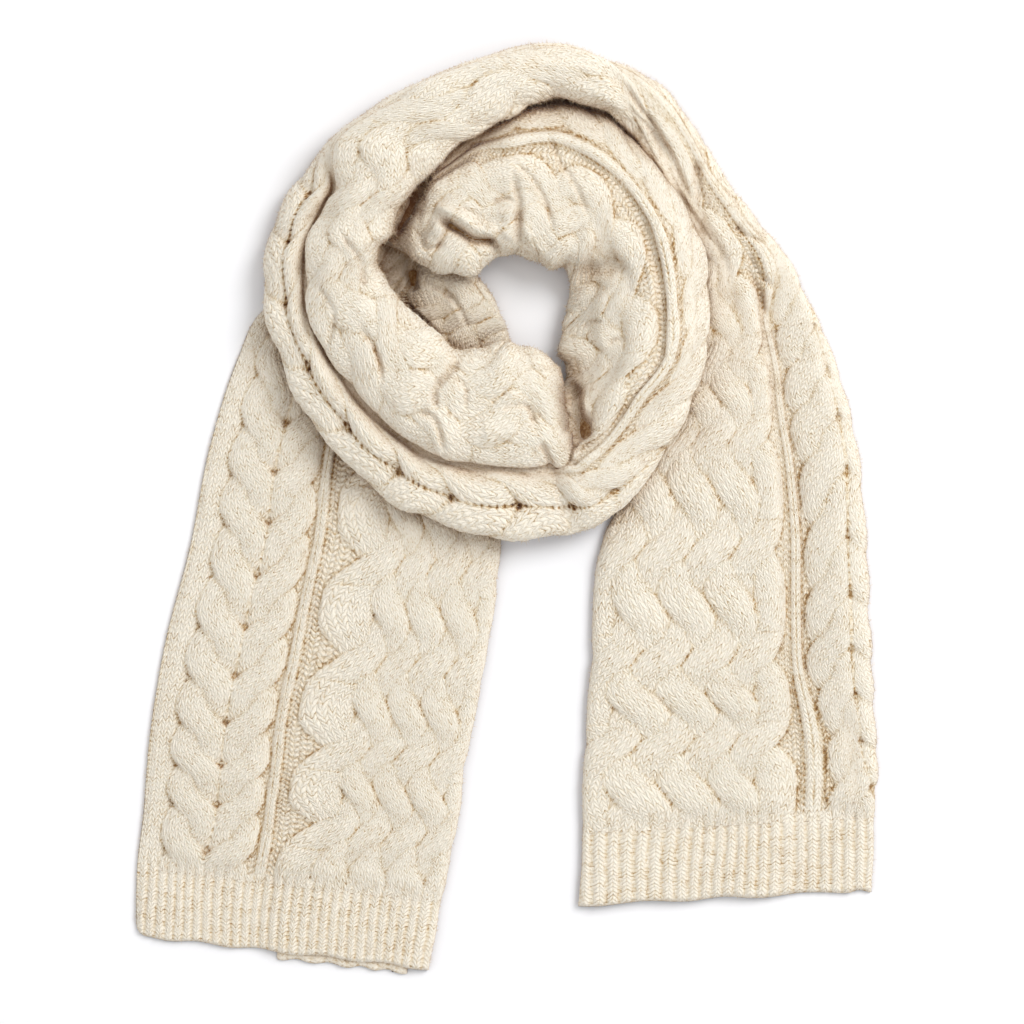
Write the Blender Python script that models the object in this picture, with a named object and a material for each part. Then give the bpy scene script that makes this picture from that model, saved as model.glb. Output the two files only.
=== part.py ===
"""Cable-knit scarf, wound one and a half times and laid flat.

One knitted band, folded lengthwise beside its wide woven cable. Its left tail runs up from the hem,
turns round the neck opening, passes over itself, and comes down again as the right tail. The band is
modelled as lofts: each section of it is a line across the cloth from its outer edge to its fold, and
the cables and ribs are raised in the outer points of the loft.

Lengths in the tables are millimetres. +X is to the right, +Y points away from the hems, and the
origin is on the surface that the scarf lies on, under the middle of its outline.
"""

from dataclasses import dataclass

import bmesh
import bpy
import numpy as np

MM = 0.001

# --- Driving dimensions (mm) -------------------------------------------------------------------
ROW = 36.0             # half of the woven cable's repeat, measured along the cloth
STRIP_WIDTH = 20.0     # plain edge strip
PLAIT_WIDTH = 70.0     # two mirrored ropes of two strands, side by side
ROPE_STRANDS = 2
ROPE_REPEAT = 37.86    # from one crossing of a rope to the next
ROPE_PHASE = 0.1
PURL_NARROW = 8.0
RIB_WIDTH = 10.0       # two-stitch rib
PURL_WIDE = 18.0
WOVEN_WIDTH = 130.0    # woven cable of eight strands
WOVEN_STRANDS = 8
TUCK = 16.0            # cloth that turns under past the fold
HEM_RIBS = 24          # knit ribs across a hem
RELIEF_PLAIT = 3.6     # how far a strand's crown stands out of the ground
RELIEF_WOVEN = 3.2
RELIEF_CROSSING = 1.3  # how much further it rises where it crosses over, or sinks where it goes under
RELIEF_RIB = 1.8
RELIEF_STRIP = 1.0
RELIEF_HEM = 1.4
WOVEN_HALF_WIDTH = 0.62  # of a strand, as a share of the strands' spacing, so that neighbours overlap
ROPE_HALF_WIDTH = 0.66
TURN_REACH = 0.45      # how far a strand that turns back swings out past its place, in strand spacings
TURN_SPREAD = 0.3      # and how much wider it gets there
SEAM_GAP = 0.8         # at the middle line, which leaves over 0.3 on the inside of a bend
LAYER = 4.4            # one layer of ribbed hem, the one that is folded under
LAYER_GAP = 0.9        # between it and the layer on top, in the hollows of the ribs
HEM_EDGE = 0.8         # thickness of the top layer where it ends at the fold
UNDER_EDGE = 3.2       # height of the folded layer's own two edges, which are rounded down
UNDER_INSET = 6.0      # how far that layer starts in from the woven cable's edge
UNDER_FOLD_INSET = 6.0 # and how far it stays back from the end of the tuck
UNDER_REACH = 0.14     # rows by which the left hem's folded layer shows past the top one
TAIL_ROW_STEP = 0.25   # spacing of the loft's rows, in rows of the cable
LOOP_ROW_STEP = 1 / 3
HEM_ROW_STEP = 0.6
UNDERSIDE_SPANS = 4    # widths of face that are left across an underside
LEAST_WALL = 0.4       # least height of an outer point above the surface that the scarf lies on
FLAT = 0.01            # an underside whose heights differ by less than this is one flat face
MIDDLE = (-0.35, -2.63)  # middle of the outline in the tables below, which becomes the origin

PLAIT_START = STRIP_WIDTH
PLAIT_END = PLAIT_START + PLAIT_WIDTH
RIB_START = PLAIT_END + PURL_NARROW
RIB_END = RIB_START + RIB_WIDTH
WOVEN_START = RIB_END + PURL_WIDE
FOLD = WOVEN_START + WOVEN_WIDTH
CLOTH_END = FOLD + TUCK

# --- How the cloth lies across a section -------------------------------------------------------
# Each named rail is a line along the cloth at a fixed distance from its outer edge.
RAILS = {
    "selvedge": 0.0,
    "strip": STRIP_WIDTH,
    "plait": 0.5 * (PLAIT_START + PLAIT_END),
    "gutter": PLAIT_END + 2.0,
    "rib": 0.5 * (RIB_START + RIB_END),
    "purl": RIB_END + 8.0,
    "woven": WOVEN_START + 2.0,
    "crown": WOVEN_START + 0.5 * WOVEN_WIDTH,
    "turn": FOLD - 16.0,
    "fold": FOLD,
    "tuck": CLOTH_END,
}

# across: 0 at the section's outer point, 1 at its inner point. rise: 0 on the floor, 1 at the crest.
# Each tuple has one value for each rail, in the order above.
PROFILES = {
    "ribbed":   {"across": (.000, .08, .21, .36, .40, .45, .50, .75, .94, 1.0, .985),
                 "rise":   (.300, .50, .58, .56, .56, .66, .86, 1.0, .96, .60, .100)},
    "tucked":   {"across": (.060, .01, .05, .135, .215, .28, .345, .64, .92, 1.0, .985),
                 "rise":   (.050, .30, .56, .56, .56, .66, .86, 1.0, .96, .60, .100)},
    "laid":     {"across": (.010, .09, .24, .385, .41, .47, .56, .79, .955, 1.0, .985),
                 "rise":   (.300, .50, .62, .52, .52, .58, .86, 1.0, .96, .60, .100)},
    "edged":    {"across": (.070, .01, .06, .22, .26, .30, .345, .66, .93, 1.0, .985),
                 "rise":   (.050, .30, .86, .48, .62, .66, .86, 1.0, .96, .60, .100)},
    "turned":   {"across": (.060, .01, .05, .135, .215, .28, .345, .64, .92, 1.0, .985),
                 "rise":   (.050, .30, .74, .50, .62, .64, .86, 1.0, .96, .60, .100)},
    "creased":  {"across": (.030, .00, .13, .27, .345, .375, .40, .70, .93, 1.0, .95),
                 "rise":   (.060, .26, .60, .56, .46, .50, .66, 1.0, .84, .50, .12)},
    "rolled":   {"across": (.120, .05, .00, .00, .02, .05, .09, .55, .90, 1.0, .93),
                 "rise":   (.040, .15, .38, .62, .70, .78, .86, 1.0, .80, .48, .12)},
    "gathered": {"across": (.000, .03, .08, .14, .18, .22, .26, .60, .90, 1.0, .96),
                 "rise":   (.100, .20, .38, .55, .62, .70, .78, 1.0, .88, .50, .15)},
    "crossing": {"across": (.000, .04, .12, .22, .28, .36, .42, .72, .93, 1.0, .95),
                 "rise":   (.100, .30, .62, .80, .86, .84, .90, 1.0, .85, .50, .15)},
    "sloping":  {"across": (.000, .03, .10, .18, .28, .36, .42, .68, .90, 1.0, .98),
                 "rise":   (.100, .34, .70, .88, 1.0, .92, .95, .62, .38, .20, .05)},
    "leaning":  {"across": (.050, .00, .03, .10, .16, .22, .28, .58, .80, 1.0, .98),
                 "rise":   (.100, .32, .70, .94, 1.0, .97, .90, .44, .20, .15, .05)},
    "closing":  {"across": (.000, .10, .35, .62, .78, .85, .90, .95, .98, 1.0, .99),
                 "rise":   (.100, .35, .75, .90, .90, .82, .75, .50, .30, .18, .05)},
}


@dataclass(frozen=True)
class Section:
    """One line across the cloth, from its outer edge (left of travel) to its fold."""

    row: float        # distance along the cloth, in rows of the cable
    outer_x: float
    outer_y: float
    inner_x: float
    inner_y: float
    floor_out: float  # height of the underside at the outer point
    floor_in: float   # height of the underside at the inner point
    crest: float      # highest ground of the section, before the cables are raised
    profile: str
    shown: float      # distance from the outer edge, on the chart, of the cloth that lies at the fold


# The band from the left hem up, round the top of the opening and down its right side.
FIRST_PASS = [
    # row  outer x, y     inner x, y  floor out, in  crest profile  shown
    Section(-0.5, -296, -344, -62, -371, 0, 0, 9.5, "ribbed", 256),
    Section(1.2, -295, -289, -53, -315, 0, 0, 9.5, "ribbed", 256),
    Section(2.5, -292, -241, -43, -269, 0, 0, 9.5, "laid", 256),
    Section(4.5, -287, -180, -33, -204, 0, 0, 9.5, "laid", 256),
    Section(6.5, -275, -108, -19, -132, 0, 0, 9.5, "laid", 256),
    Section(8.5, -255, -31, -7, -53, 0, 0, 9.5, "laid", 256),
    Section(10.5, -240, 45, -1, 25, 0, 0, 9.5, "laid", 256),
    Section(12.5, -216, 120, 2, 93, 0, 0, 9.5, "laid", 256),
    Section(13.8, -195, 158, 2, 129, 0, 0, 10.0, "laid", 230),
    Section(15.2, -135, 184, -11, 163, 0, 0, 13.0, "laid", 190),
    Section(16.1, -112, 206, -23, 183, 0, 0, 15.0, "laid", 176),
    Section(17.0, -100, 244, -40, 200, 0, 0, 15.0, "laid", 170),
]

LOOP_START = [
    Section(16.4, -66, 258, -76, 200, 20, 20, 30, "gathered", 180),
    Section(16.9, -60, 270, -66, 194, 20, 20, 38, "gathered", 184),
    Section(17.5, -53, 280, -53, 189, 14, 22, 43, "gathered", 190),
    Section(18.4, -26, 304, -27, 186, 4, 20, 46, "gathered", 205),
    Section(19.4, 8, 319, -5, 202, 0, 4, 46, "crossing", 196),
    Section(20.3, 43, 326, 18, 200, 0, 0, 46, "crossing", 200),
    Section(21.3, 78, 313, 37, 194, 4, 0, 46, "crossing", 200),
    Section(22.2, 107, 288, 50, 189, 13, 0, 47, "crossing", 196),
    Section(23.2, 136, 250, 53, 168, 15, 2, 49, "sloping", 194),
    Section(24.2, 154, 211, 48, 149, 15, 4, 51, "sloping", 196),
    Section(25.2, 160, 167, 46, 129, 15, 4, 52, "sloping", 196),
    Section(26.2, 158, 124, 48, 108, 15, 4, 52, "sloping", 192),
    Section(27.2, 146, 82, 53, 85, 15, 6, 50, "sloping", 184),
    Section(28.1, 126, 44, 58, 63, 15, 10, 48, "sloping", 172),
    Section(28.9, 102, 12, 63, 48, 15, 15, 46, "closing", 160),
    Section(29.6, 76, -12, 66, 36, 15, 15, 44, "closing", 156),
]

# The band again, under the opening, up its left side, over the top and down as the right tail.
SECOND_PASS = [
    Section(29.65, 72, -13, 44, 107, 15, 15, 40, "creased", 196),
    Section(30.7, 40, -21, 22, 123, 15, 15, 50, "creased", 208),
    Section(31.9, -7, -20, -2, 126, 15, 15, 55, "creased", 210),
    Section(33.2, -61, -6, -34, 120, 15, 15, 57, "creased", 205),
    Section(34.5, -102, 17, -61, 138, 15, 17, 58, "creased", 204),
    Section(35.7, -141, 57, -84, 158, 15, 20, 58, "creased", 198),
    Section(37.0, -172, 108, -100, 180, 15, 20, 57, "creased", 191),
    Section(38.2, -190, 161, -105, 197, 9, 20, 56, "creased", 187),
    Section(39.4, -190, 211, -97, 216, 0, 20, 55, "creased", 188),
    Section(40.7, -172, 251, -81, 243, 0, 20, 54, "creased", 187),
    Section(42.0, -134, 293, -58, 271, 0, 24, 54, "rolled", 195),
    Section(43.3, -86, 325, -29, 294, 0, 24, 54, "rolled", 185),
    Section(44.6, -27, 352, 6, 314, 0, 23, 53, "rolled", 175),
    Section(45.9, 30, 364, 38, 329, 0, 18, 52, "rolled", 167),
    Section(47.1, 80, 353, 75, 320, 0, 16, 50, "rolled", 165),
    Section(48.2, 119, 333, 104, 298, 0, 4, 45, "leaning", 166),
    Section(49.2, 148, 300, 118, 268, 0, 0, 38, "leaning", 168),
    Section(50.0, 165, 270, 128, 240, 0, 0, 32, "leaning", 168),
    Section(51.0, 188, 240, 140, 215, 0, 0, 25, "leaning", 168),
    Section(52.4, 219, 202, 147, 178, 0, 0, 18, "leaning", 178),
    Section(53.9, 246, 151, 147, 132, 0, 0, 10, "edged", 188),
    Section(55.5, 266, 99, 138, 85, 0, 0, 9.5, "edged", 206),
    Section(57.2, 281, 33, 105, 25, 0, 0, 9.5, "edged", 236),
    Section(58.5, 286, -32, 75, -36, 0, 0, 9.5, "edged", 256),
    Section(60.5, 289, -115, 69, -123, 0, 0, 9.5, "edged", 256),
    Section(62.5, 294, -185, 64, -193, 0, 0, 9.5, "turned", 256),
    Section(64.2, 296, -247, 62, -260, 0, 0, 9.5, "tucked", 256),
    Section(66.0, 294, -308, 59, -320, 0, 0, 9.5, "tucked", 256),
]

LEFT_HEM_ROWS = (-0.5, 1.2)
LEFT_TAIL_ROWS = (1.2, 10.2)
LEFT_SHOULDER_ROWS = (10.2, 13.8)
LEFT_RISE_ROWS = (13.8, 17.0)
LOOP_BACK_ROWS = (16.4, 22.6)
LOOP_RIGHT_ROWS = (22.6, 29.6)
LOOP_FRONT_ROWS = (29.65, 36.0)
LOOP_LEFT_ROWS = (36.0, 42.0)
LOOP_TOP_ROWS = (42.0, 49.0)
RIGHT_SHOULDER_ROWS = (49.0, 54.0)
RIGHT_TAIL_ROWS = (54.0, 64.2)
RIGHT_HEM_ROWS = (64.2, 66.0)


def smooth(knots, values, at):
    """Cubic through the values at the knots, with tangents kept from overshooting."""
    knots = np.asarray(knots, float)
    values = np.asarray(values, float)
    at = np.clip(at, knots[0], knots[-1])
    steps = np.diff(knots)
    slopes = np.diff(values, axis=0) / steps.reshape((-1,) + (1,) * (values.ndim - 1))
    tangents = np.empty_like(values)
    tangents[0], tangents[-1] = slopes[0], slopes[-1]
    before, after = slopes[:-1], slopes[1:]
    mean = 0.5 * (before + after)
    limit = 3 * np.minimum(np.abs(before), np.abs(after))
    tangents[1:-1] = np.where(before * after > 0, np.sign(mean) * np.minimum(np.abs(mean), limit), 0.25 * mean)
    place = np.clip(np.searchsorted(knots, at, side="right") - 1, 0, len(steps) - 1)
    shape = place.shape + (1,) * (values.ndim - 1)
    step = steps[place].reshape(shape)
    s = ((at - knots[place]) / steps[place]).reshape(shape)
    return ((2 * s**3 - 3 * s**2 + 1) * values[place] + (s**3 - 2 * s**2 + s) * step * tangents[place]
            + (3 * s**2 - 2 * s**3) * values[place + 1] + (s**3 - s**2) * step * tangents[place + 1])


def ease(s):
    """Smooth step from 0 to 1."""
    s = np.clip(s, 0, 1)
    return s * s * (3 - 2 * s)


def chart_columns(sections, rows, columns):
    """Columns of the chart that lie at the columns of the loft, shape (rows, columns)."""
    shown = smooth([s.row for s in sections], [s.shown for s in sections], rows)[:, None]
    past = np.maximum(columns - WOVEN_START, 0)
    return columns + past * (shown - FOLD) / WOVEN_WIDTH


def ground(sections, rows, columns):
    """Points of the plain cloth, shape (rows, columns, 3), and of the surface under it."""
    knots = [s.row for s in sections]
    outer = smooth(knots, [(s.outer_x, s.outer_y) for s in sections], rows)[:, None, :]
    inner = smooth(knots, [(s.inner_x, s.inner_y) for s in sections], rows)[:, None, :]
    levels = smooth(knots, [(s.floor_out, s.floor_in, s.crest) for s in sections], rows)
    floor_out, floor_in, crest = np.maximum(levels, 0).T
    across_rails = smooth(knots, [PROFILES[s.profile]["across"] for s in sections], rows)
    rise_rails = smooth(knots, [PROFILES[s.profile]["rise"] for s in sections], rows)
    rails = list(RAILS.values())
    across = smooth(rails, across_rails.T, columns).T
    rise = smooth(rails, rise_rails.T, columns).T
    under = floor_out[:, None] + (floor_in - floor_out)[:, None] * np.clip(across, 0, 1)
    height = under + rise * (crest[:, None] - under)
    top = np.dstack([outer + (inner - outer) * across[:, :, None], height])
    # The underside runs straight from the foot of the outer edge to the foot of the tuck.
    share = (columns / CLOTH_END)[None, :]
    foot = across[:, :1] + (across[:, -1:] - across[:, :1]) * share
    low = floor_out[:, None] + (floor_in - floor_out)[:, None] * np.clip(foot, 0, 1)
    bottom = np.dstack([outer + (inner - outer) * foot[:, :, None], low])
    return top, bottom


def normals_of(points):
    """Unit outward normals of the plain cloth within the upright plane of each section."""
    across = np.gradient(points, axis=1)
    line = points[:, -2:-1, :] - points[:, :1, :]
    line[:, :, 2] = 0
    line /= np.linalg.norm(line, axis=2, keepdims=True)
    level = (across * line).sum(axis=2)
    normal = level[:, :, None] * np.array([0.0, 0.0, 1.0]) - across[:, :, 2:] * line
    return normal / np.maximum(np.linalg.norm(normal, axis=2, keepdims=True), 1e-9)


def strand_height(offset, half_width, crown):
    """Round section of a strand at a distance from its centre line, zero outside it."""
    inside = np.clip(1 - (offset / half_width) ** 2, 0, 1)
    return crown * np.sqrt(inside)


def woven_relief(columns, rows):
    """Height of the woven cable: eight strands that pass over and under each other.

    A strand moves one place each row, over in one row and under in the next. At either edge of the
    cable it rests for a row, while it turns back.
    """
    pitch = WOVEN_WIDTH / WOVEN_STRANDS
    place = (columns - WOVEN_START) / pitch - 0.5
    turns = 2 * WOVEN_STRANDS
    height = np.zeros(np.broadcast(columns, rows).shape)
    for strand in range(WOVEN_STRANDS):
        phase = (rows + 2 * strand) % turns
        outward = phase < WOVEN_STRANDS
        local = np.where(outward, phase, phase - WOVEN_STRANDS)
        turning = local > WOVEN_STRANDS - 1
        swing = np.where(turning, np.sin(np.pi * local) ** 2, 0)
        step = np.where(turning, WOVEN_STRANDS - 1, np.floor(local) + ease(local % 1)) + TURN_REACH * swing
        centre = np.where(outward, step, WOVEN_STRANDS - 1 - step)
        over = np.where(turning, 0, np.cos(np.pi * (local - 0.5))) * np.where(outward, 1, -1)
        crown = strand_height(place - centre, WOVEN_HALF_WIDTH * (1 + TURN_SPREAD * swing), RELIEF_WOVEN)
        height = np.maximum(height, np.where(crown > 0, crown + RELIEF_CROSSING * over, 0))
    return height


def plait_relief(columns, rows):
    """Height of the plait: two ropes, each the mirror image of the other.

    A strand takes one repeat to cross over from its rope's outer edge to the middle of the plait, and one
    to go back under the rope's other strand.
    """
    half = 0.5 * PLAIT_WIDTH
    pitch = half / ROPE_STRANDS
    place = (half - np.abs(columns - PLAIT_START - half)) / pitch - 0.5
    repeats = ROPE_PHASE - rows * ROW / ROPE_REPEAT
    height = np.zeros(np.broadcast(columns, rows).shape)
    for strand in range(ROPE_STRANDS):
        phase = (repeats + strand) % ROPE_STRANDS
        centre = ease(phase) - ease(phase - 1)
        crown = strand_height(place - centre, ROPE_HALF_WIDTH, RELIEF_PLAIT)
        height = np.maximum(height, np.where(crown > 0, crown + RELIEF_CROSSING * np.sin(np.pi * phase), 0))
    return height


def cable_relief(columns, rows):
    """Height of all that is raised in the cloth between the hems."""
    rib = strand_height(columns - 0.5 * (RIB_START + RIB_END), 0.6 * RIB_WIDTH, RELIEF_RIB)
    strip = strand_height(columns - 0.5 * STRIP_WIDTH, 0.5 * STRIP_WIDTH, RELIEF_STRIP)
    return np.maximum(woven_relief(columns, rows), plait_relief(columns, rows)) + rib + strip


def hem_relief(columns):
    """Height of the single ribs of a hem."""
    return RELIEF_HEM * (0.5 + 0.5 * np.cos(2 * np.pi * HEM_RIBS * columns / FOLD))


def without_edges(relief):
    """The relief, with none on the two outermost lines of points, where the cloth turns under."""
    kept = relief.copy()
    kept[:, 0] = kept[:, -1] = 0
    return kept


def cable_columns():
    """Distances across the cloth where the loft has a line of points."""
    plait = np.linspace(PLAIT_START, PLAIT_END, 4 * ROPE_STRANDS + 1)
    beside_rib = 3.0
    ribs = [RIB_START - beside_rib, 0.5 * (RIB_START + RIB_END), RIB_END + beside_rib]
    woven = np.linspace(WOVEN_START, FOLD, 2 * WOVEN_STRANDS + 1)
    return np.concatenate([[0.0], plait, ribs, woven, [CLOTH_END]])


def hem_columns(start, end):
    """Two lines of points for each rib of a hem, one on its crown and one beside it."""
    pitch = FOLD / HEM_RIBS
    first = int(np.ceil(2 * start / pitch))
    last = int(np.floor(2 * end / pitch))
    return np.arange(first, last + 1) * 0.5 * pitch


def row_line(rows, step):
    """Rows of a stretch, evenly spaced, less half of a seam gap at each end."""
    gap = 0.5 * SEAM_GAP / ROW
    count = max(2, int(round((rows[1] - rows[0]) / step)) + 1)
    return np.linspace(rows[0] + gap, rows[1] - gap, count)


def make_stretch(name, points, foot, material, collection, flat_underside):
    """A closed solid between a grid of outer points and the grid of points under them."""
    row_count, column_count = points.shape[:2]
    mesh = bpy.data.meshes.new(name)
    bm = bmesh.new()
    bmesh.ops.create_grid(bm, x_segments=column_count - 1, y_segments=row_count - 1, size=0.5)
    lower = list(bm.verts)
    places = {v: (round((v.co.y + 0.5) * (row_count - 1)), round((v.co.x + 0.5) * (column_count - 1)))
              for v in lower}
    lower_faces = list(bm.faces)
    upper = {place: bm.verts.new(points[place] * MM) for place in places.values()}
    lower_at = {place: v for v, place in places.items()}
    for v, place in places.items():
        v.co = foot[place] * MM
    for face in lower_faces:
        bm.faces.new([upper[places[v]] for v in face.verts])
        face.normal_flip()
    border = ([(0, j) for j in range(column_count)] + [(i, column_count - 1) for i in range(1, row_count)]
              + [(row_count - 1, j) for j in range(column_count - 2, -1, -1)]
              + [(i, 0) for i in range(row_count - 2, 0, -1)])
    for here, there in zip(border, border[1:] + border[:1]):
        bm.faces.new([lower_at[here], lower_at[there], upper[there], upper[here]])
    bmesh.ops.recalc_face_normals(bm, faces=bm.faces)
    underside = [e for e in bm.edges if all(v in places for v in e.verts)]
    if flat_underside:
        bmesh.ops.dissolve_limit(bm, angle_limit=FLAT, use_dissolve_boundaries=False,
                                 verts=lower, edges=underside)
    else:
        kept = {round(k * (column_count - 1) / UNDERSIDE_SPANS) for k in range(UNDERSIDE_SPANS + 1)}
        lines = [e for e in underside if places[e.verts[0]][1] == places[e.verts[1]][1]]
        spare = [e for e in lines if places[e.verts[0]][1] not in kept]
        bmesh.ops.dissolve_edges(bm, edges=spare, use_verts=True)
    bm.to_mesh(mesh)
    bm.free()
    mesh.materials.append(material)
    mesh.shade_smooth()
    part = bpy.data.objects.new(name, mesh)
    part.location.xy = (-MIDDLE[0] * MM, -MIDDLE[1] * MM)
    collection.objects.link(part)
    return part


def knit_stretch(name, sections, rows, step, material, collection):
    """One stretch of the cabled band."""
    line = row_line(rows, step)
    columns = cable_columns()
    top, foot = ground(sections, line, columns)
    raised = without_edges(cable_relief(chart_columns(sections, line, columns), line[:, None]))
    top = top + normals_of(top) * raised[:, :, None]
    top[:, :, 2] = np.maximum(top[:, :, 2], LEAST_WALL)
    flat = np.ptp(foot[:, :, 2]) < FLAT
    return make_stretch(name, top, foot, material, collection, flat)


def hem(name, sections, rows, material, collection):
    """Top layer of a ribbed hem, which steps up over the layer folded under it."""
    line = row_line(rows, HEM_ROW_STEP)
    columns = np.append(hem_columns(0, FOLD), CLOTH_END)
    top, foot = ground(sections, line, columns)
    relief = np.broadcast_to(hem_relief(columns), top.shape[:2])
    top = top + normals_of(top) * without_edges(relief)[:, :, None]
    top[:, :, 2] = np.maximum(top[:, :, 2], LEAST_WALL)
    foot[:, columns > WOVEN_START, 2] = LAYER + LAYER_GAP
    top[:, -1, 2] = LAYER + LAYER_GAP + HEM_EDGE
    return make_stretch(name, top, foot, material, collection, True)


def folded_hem(name, sections, rows, reach, material, collection):
    """Layer of a hem that is folded under. Its hem end may reach past the first of the sections."""
    line = row_line((rows[0] - reach, rows[1]), HEM_ROW_STEP)
    columns = hem_columns(WOVEN_START + UNDER_INSET, CLOTH_END - UNDER_FOLD_INSET)
    _, below = ground(sections, line, np.concatenate([[0.0], columns, [CLOTH_END]]))
    top = below[:, 1:-1]
    if reach:
        along = (top[1] - top[2]) / (line[2] - line[1])
        top[0] = top[1] + along * (line[1] - line[0])
    top[:, :, 2] = LAYER
    top[:, 0, 2] = top[:, -1, 2] = UNDER_EDGE
    foot = top.copy()
    foot[:, :, 2] = 0
    return make_stretch(name, top, foot, material, collection, True)


def wool():
    """Undyed cream wool."""
    material = bpy.data.materials.new("cream_wool")
    material.use_nodes = True
    shader = material.node_tree.nodes["Principled BSDF"]
    shader.inputs["Base Color"].default_value = (0.76, 0.68, 0.53, 1)
    shader.inputs["Roughness"].default_value = 0.95
    shader.inputs["Metallic"].default_value = 0.0
    return material


def main():
    """Clear the scene and build the scarf."""
    for old in list(bpy.data.objects):
        bpy.data.objects.remove(old, do_unlink=True)
    collection = bpy.data.collections.new("cable_knit_scarf")
    bpy.context.scene.collection.children.link(collection)
    material = wool()

    stretches = [
        ("left_tail", FIRST_PASS, LEFT_TAIL_ROWS, TAIL_ROW_STEP),
        ("left_shoulder", FIRST_PASS, LEFT_SHOULDER_ROWS, LOOP_ROW_STEP),
        ("left_rise", FIRST_PASS, LEFT_RISE_ROWS, LOOP_ROW_STEP),
        ("loop_back", LOOP_START, LOOP_BACK_ROWS, LOOP_ROW_STEP),
        ("loop_right", LOOP_START, LOOP_RIGHT_ROWS, LOOP_ROW_STEP),
        ("loop_front", SECOND_PASS, LOOP_FRONT_ROWS, LOOP_ROW_STEP),
        ("loop_left", SECOND_PASS, LOOP_LEFT_ROWS, LOOP_ROW_STEP),
        ("loop_top", SECOND_PASS, LOOP_TOP_ROWS, LOOP_ROW_STEP),
        ("right_shoulder", SECOND_PASS, RIGHT_SHOULDER_ROWS, LOOP_ROW_STEP),
        ("right_tail", SECOND_PASS, RIGHT_TAIL_ROWS, TAIL_ROW_STEP),
    ]
    for name, sections, rows, step in stretches:
        knit_stretch(name, sections, rows, step, material, collection)
    hem("left_hem", FIRST_PASS, LEFT_HEM_ROWS, material, collection)
    hem("right_hem", SECOND_PASS, RIGHT_HEM_ROWS, material, collection)
    folded_hem("left_hem_under", FIRST_PASS, LEFT_HEM_ROWS, UNDER_REACH, material, collection)
    folded_hem("right_hem_under", SECOND_PASS, RIGHT_HEM_ROWS, 0, material, collection)


main()
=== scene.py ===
"""Cable-knit scarf in undyed cream wool, wound one and a half times and laid flat on a white table.

The scarf is one knitted band, folded lengthwise beside its woven cable. Each stretch of it that shows
is a thin shell of cloth in place of its solid: a fine sheet that is lifted into cables, ribs and
stitches, with a plain lining sheet behind it. The single legs of the stitches come from the finish,
which follows them through each sheet's own map, and loose fibres stand off the cloth as one more piece.

Lengths in the tables are millimetres, measured as in the tables of the solids.
"""

from __future__ import annotations

import logging
from dataclasses import dataclass, field
from enum import Enum
from typing import Any

import bmesh
import bpy
import numpy as np
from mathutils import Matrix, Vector
from numpy.typing import NDArray

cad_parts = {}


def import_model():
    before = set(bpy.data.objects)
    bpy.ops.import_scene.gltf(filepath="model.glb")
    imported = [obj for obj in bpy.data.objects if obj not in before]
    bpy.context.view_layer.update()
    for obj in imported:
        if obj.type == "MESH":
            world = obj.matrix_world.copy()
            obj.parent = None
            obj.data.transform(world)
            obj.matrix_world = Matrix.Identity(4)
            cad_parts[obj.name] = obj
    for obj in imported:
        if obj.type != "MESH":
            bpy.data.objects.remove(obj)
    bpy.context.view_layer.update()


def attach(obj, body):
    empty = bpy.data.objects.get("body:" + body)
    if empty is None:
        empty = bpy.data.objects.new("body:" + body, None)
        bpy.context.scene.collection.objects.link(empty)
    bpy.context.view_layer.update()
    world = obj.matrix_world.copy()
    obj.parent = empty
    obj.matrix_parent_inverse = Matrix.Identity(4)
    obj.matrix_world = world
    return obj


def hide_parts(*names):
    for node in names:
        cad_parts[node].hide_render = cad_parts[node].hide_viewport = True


Array = NDArray[np.float64]

MM = 0.001
ORIGIN = (0.35, 2.63)  # mm, from the tables' own middle to the frame's origin
BODY = "root"
SPARE = 18          # rows of points beyond each end of a sheet, so that neighbours agree at their seam
UNDER_POINTS = 10   # points across the part of a fine face that is folded beneath
UNDER_START = 0.97  # share of the width where it starts
LINING_UNDER = (8, 0.9, 0.05)  # the same of a lining: its points, its start, and how much sooner it ends
FINE = 400          # columns that are enough to measure the width of the cloth by
COARSE = 9          # rows that are enough for that
LEAST = 1e-9

log = logging.getLogger("scarf")


# --- The lie of the band -----------------------------------------------------------------------


# Each named rail is a line along the cloth at a fixed distance from its outer edge.
RAILS = {
    "selvedge": 0.0, "strip": 20.0, "plait": 55.0, "gutter": 92.0, "rib": 103.0, "purl": 116.0,
    "woven": 128.0, "crown": 191.0, "turn": 240.0, "fold": 256.0, "tuck": 272.0,
}


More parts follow.
